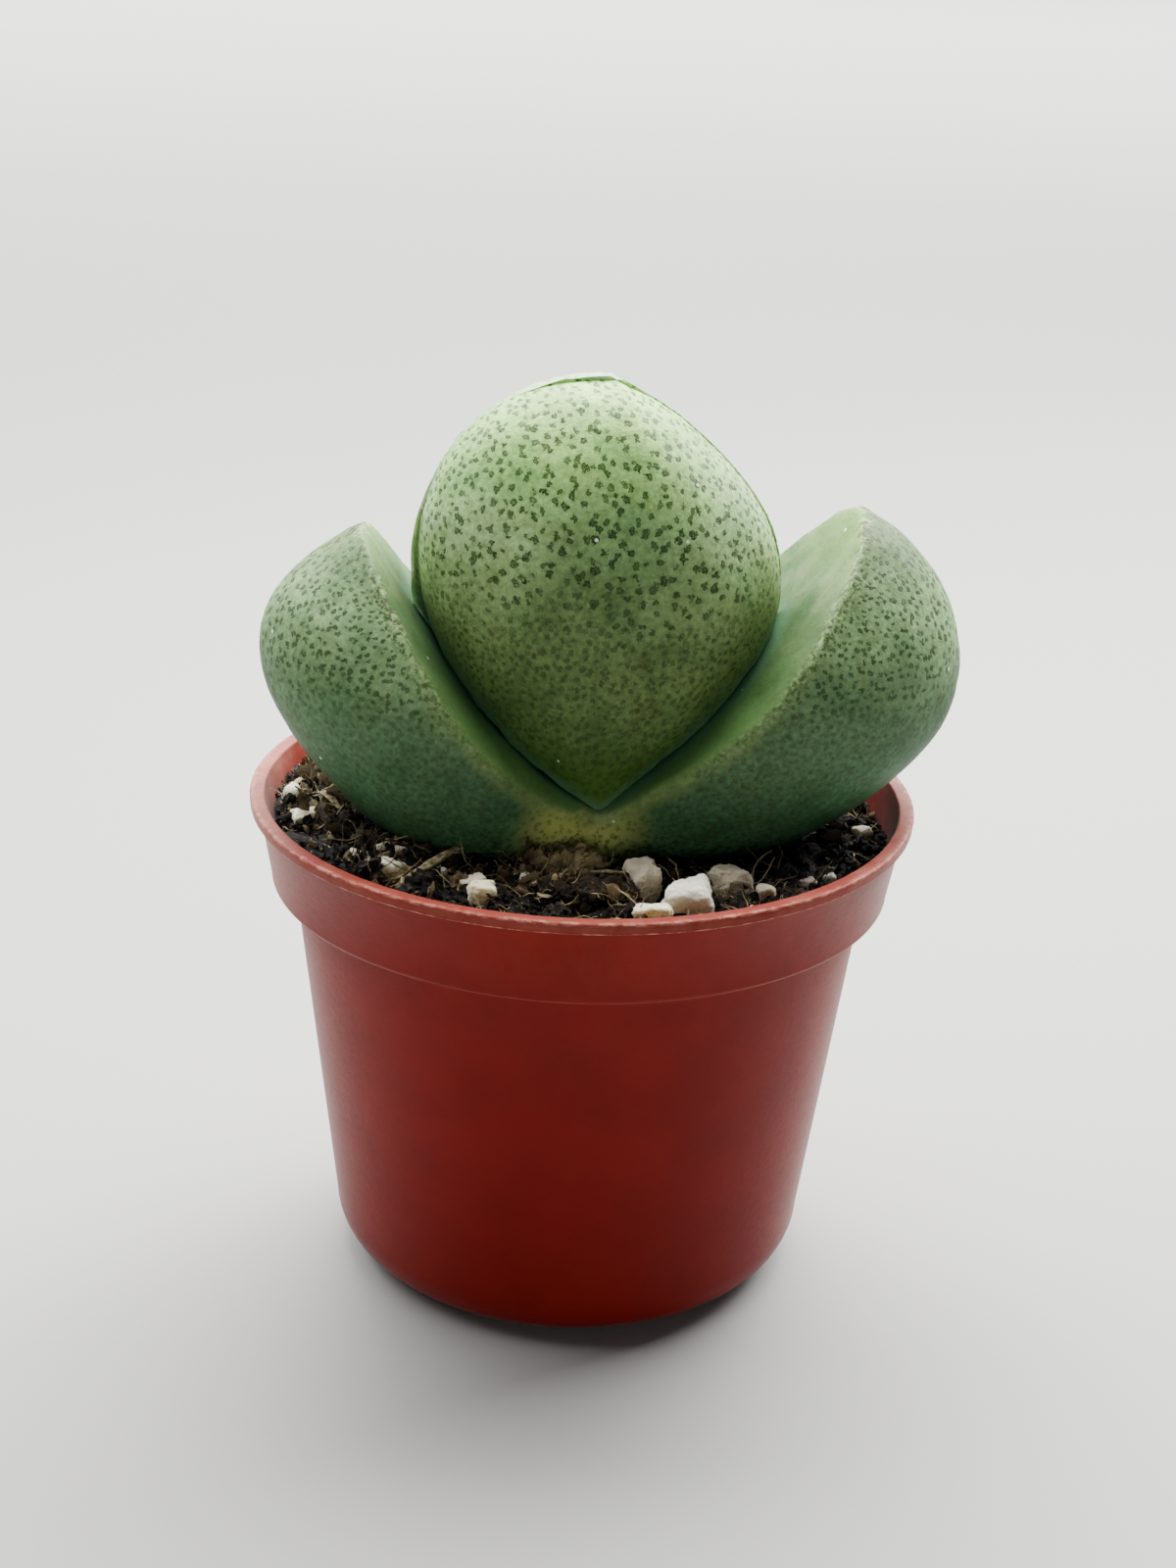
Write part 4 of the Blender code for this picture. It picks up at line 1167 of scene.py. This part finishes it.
# Strewn fibres: name; seeds as count, length, half width, steps and curl; and layers of count, scales, where, and
# how far an end may rise
FIBRES = (
    ("moss_fibres", (8, 0.0042, 0.000065, 8, 0.45), (
        (950, (0.3, 1.0), over_bed, 0.5),
        (230, (0.25, 0.7), ON_TUFT, 1.2),
        (180, (0.3, 0.9), ON_CLUMP, 0.9),
        (150, (0.3, 0.9), ON_HEAP, 0.7),
    )),
    ("root_pieces", (5, 0.0050, 0.00012, 7, 0.30), ((60, (0.5, 1.1), over_bed, 0.4),)),
)


def make_soil(leaves):
    """Peat bed, clumps, crumbs, fibres, bark and perlite, with all draws from one seeded roll in this order."""
    roll = random.Random(27)
    bed = make_bed()
    ground = Ground(bed, leaves)
    dress(bed, peat("damp_peat", "050403", "17110c", "17110c", 0.0), "soil", "soil")
    clumps = join_as("peat_clumps", [make_clump(number, *entry) for number, entry in enumerate(CLUMPS)])
    dress(clumps, peat("matted_peat", "060402", "392c19", "392c19", 0.0), "soil", "soil")
    for name, shapes, shades, layers in CRUMBS:
        seeds = crumb_seeds(name, *shapes)
        placings = [placing for layer in layers for placing in lie_crumbs(ground, roll, *layer)]
        dress(sow(name, seeds, placings, roll), peat(name, *shades), "soil", "soil")
    for name, (count, *shape), layers in FIBRES:
        seeds = [fibre_seed(f"{name}_seed_{number}", roll, *shape) for number in range(count)]
        placings = [placing for layer in layers for placing in lie_fibres(ground, roll, *layer)]
        dress(sow(name, seeds, placings, roll), fibre_stuff(), "soil", "soil")
    dress(make_bark(), dry_bark(), "soil", "soil")
    grains = [make_grain(number, ground, *entry) for number, entry in enumerate(GRAINS)]
    dress(join_as("perlite_grains", grains), perlite(), "soil", "soil")


# Floor, light and camera

def make_stage():
    """A plain pale floor under the pot."""
    bpy.ops.mesh.primitive_plane_add(size=8.0)
    floor = just_made("floor")
    material, tree, surface, place = new_material("matt_white_board", Roughness=0.8, IOR=1.45)
    surface.inputs["Base Color"].default_value = colour("969694")
    floor.data.materials.append(material)


def add_light(name, place, target, size, watts, tint):
    """A soft oblong lamp that points at a target."""
    lamp = bpy.data.lights.new(name, "AREA")
    lamp.shape = "RECTANGLE"
    lamp.size, lamp.size_y = size
    lamp.energy = watts
    lamp.color = colour(tint)[:3]
    item = link_new(name, lamp)
    item.location = place
    item.rotation_euler = (Vector(target) - Vector(place)).to_track_quat("-Z", "Y").to_euler()


def make_light():
    """Soft lamps high behind and at both sides, a weak one in front, and one for the floor far behind."""
    world = bpy.data.worlds.new("dim_room")
    world.use_nodes = True
    sky = world.node_tree.nodes["Background"]
    sky.inputs["Color"].default_value = colour("f6f8fa")
    sky.inputs["Strength"].default_value = 0.09
    bpy.context.scene.world = world
    add_light("above", (0.0, 0.12, 0.30), PLANT_MIDDLE, (0.24, 0.20), 3.2, "fffdf8")
    add_light("left_high", (-0.34, 0.05, 0.38), PLANT_MIDDLE, (0.30, 0.30), 2.2, "ffffff")
    add_light("right_behind", (0.28, 0.26, 0.34), PLANT_MIDDLE, (0.30, 0.30), 5.0, "ffffff")
    add_light("front_low", (0.0, -0.60, 0.12), PLANT_MIDDLE, (0.40, 0.15), 0.75, "ffffff")
    add_light("far_floor", (0.0, 1.70, 1.20), (0.0, 1.50, 0.0), (3.40, 1.60), 340.0, "ffffff")


def make_camera():
    """The camera at the viewing angle of the photograph."""
    camera = link_new("camera", bpy.data.cameras.new("camera"))
    camera.data.sensor_width = 36.0
    camera.data.lens = CAMERA_LENS
    camera.data.shift_x, camera.data.shift_y = CAMERA_SHIFT
    camera.data.clip_start = 0.01
    ahead = Vector((0.0, math.cos(CAMERA_ELEVATION), -math.sin(CAMERA_ELEVATION)))
    up = Vector((0.0, math.sin(CAMERA_ELEVATION), math.cos(CAMERA_ELEVATION)))
    turn = Matrix((Vector((1.0, 0.0, 0.0)), up, -ahead)).transposed().to_4x4()
    place = Vector((0.0, 0.0, POT_HEIGHT)) - ahead * CAMERA_DISTANCE
    camera.matrix_world = Matrix.Translation(place) @ turn @ Matrix.Rotation(CAMERA_ROLL, 4, "Z")
    bpy.context.scene.camera = camera


def build():
    """Dress the whole part, then set the floor, the light and the camera."""
    outer, inner = make_leaves()
    # Skin colours by height are partly the leaves' own tone and partly painted light and shade
    old_skin = leaf_skin(
        "old_leaf_skin",
        flesh_and_light_stops=(
            (48.0, "3d6846"), (56.0, "436444"), (62.0, "54704c"),
            (69.0, "7a9869"), (75.0, "5b7446"), (81.0, "3f5a30"),
        ),
        face_and_light_stops=(
            (53.0, "5e8649"), (58.0, "547a42"), (64.0, "466538"),
            (70.0, "43613a"), (76.0, "6a894f"), (82.0, "8aa96c"),
        ),
        foot="b3bf6a", shade_share=0.0, dot="172a10", coarse=(0.94, 0.27), fine=(0.80, 0.22), change=60.0,
    )
    young_skin = leaf_skin(
        "young_leaf_skin",
        flesh_and_light_stops=(
            (55.0, "3f6124"), (61.0, "4f693a"), (68.0, "5f7443"), (73.0, "7a945e"),
            (78.0, "94b47b"), (84.0, "95be70"), (90.0, "a9d67c"),
        ),
        face_and_light_stops=((60.0, "4c683c"), (68.0, "6b8558"), (76.0, "86a474"), (84.0, "98bb94"), (90.0, "a3c3a2")),
        foot="46682a", shade_share=0.65, dot="183010", coarse=(1.12, 0.32), fine=(0.74, 0.22), change=70.0,
    )
    dress(outer, old_skin, "outer_leaf", "outer_leaf_pair")
    dress(inner, young_skin, "inner_leaf", "inner_leaf_pair")
    dress(make_pot(), polypropylene(), "pot", "pot")
    make_soil((outer, inner))
    make_stage()
    make_light()
    make_camera()


build()
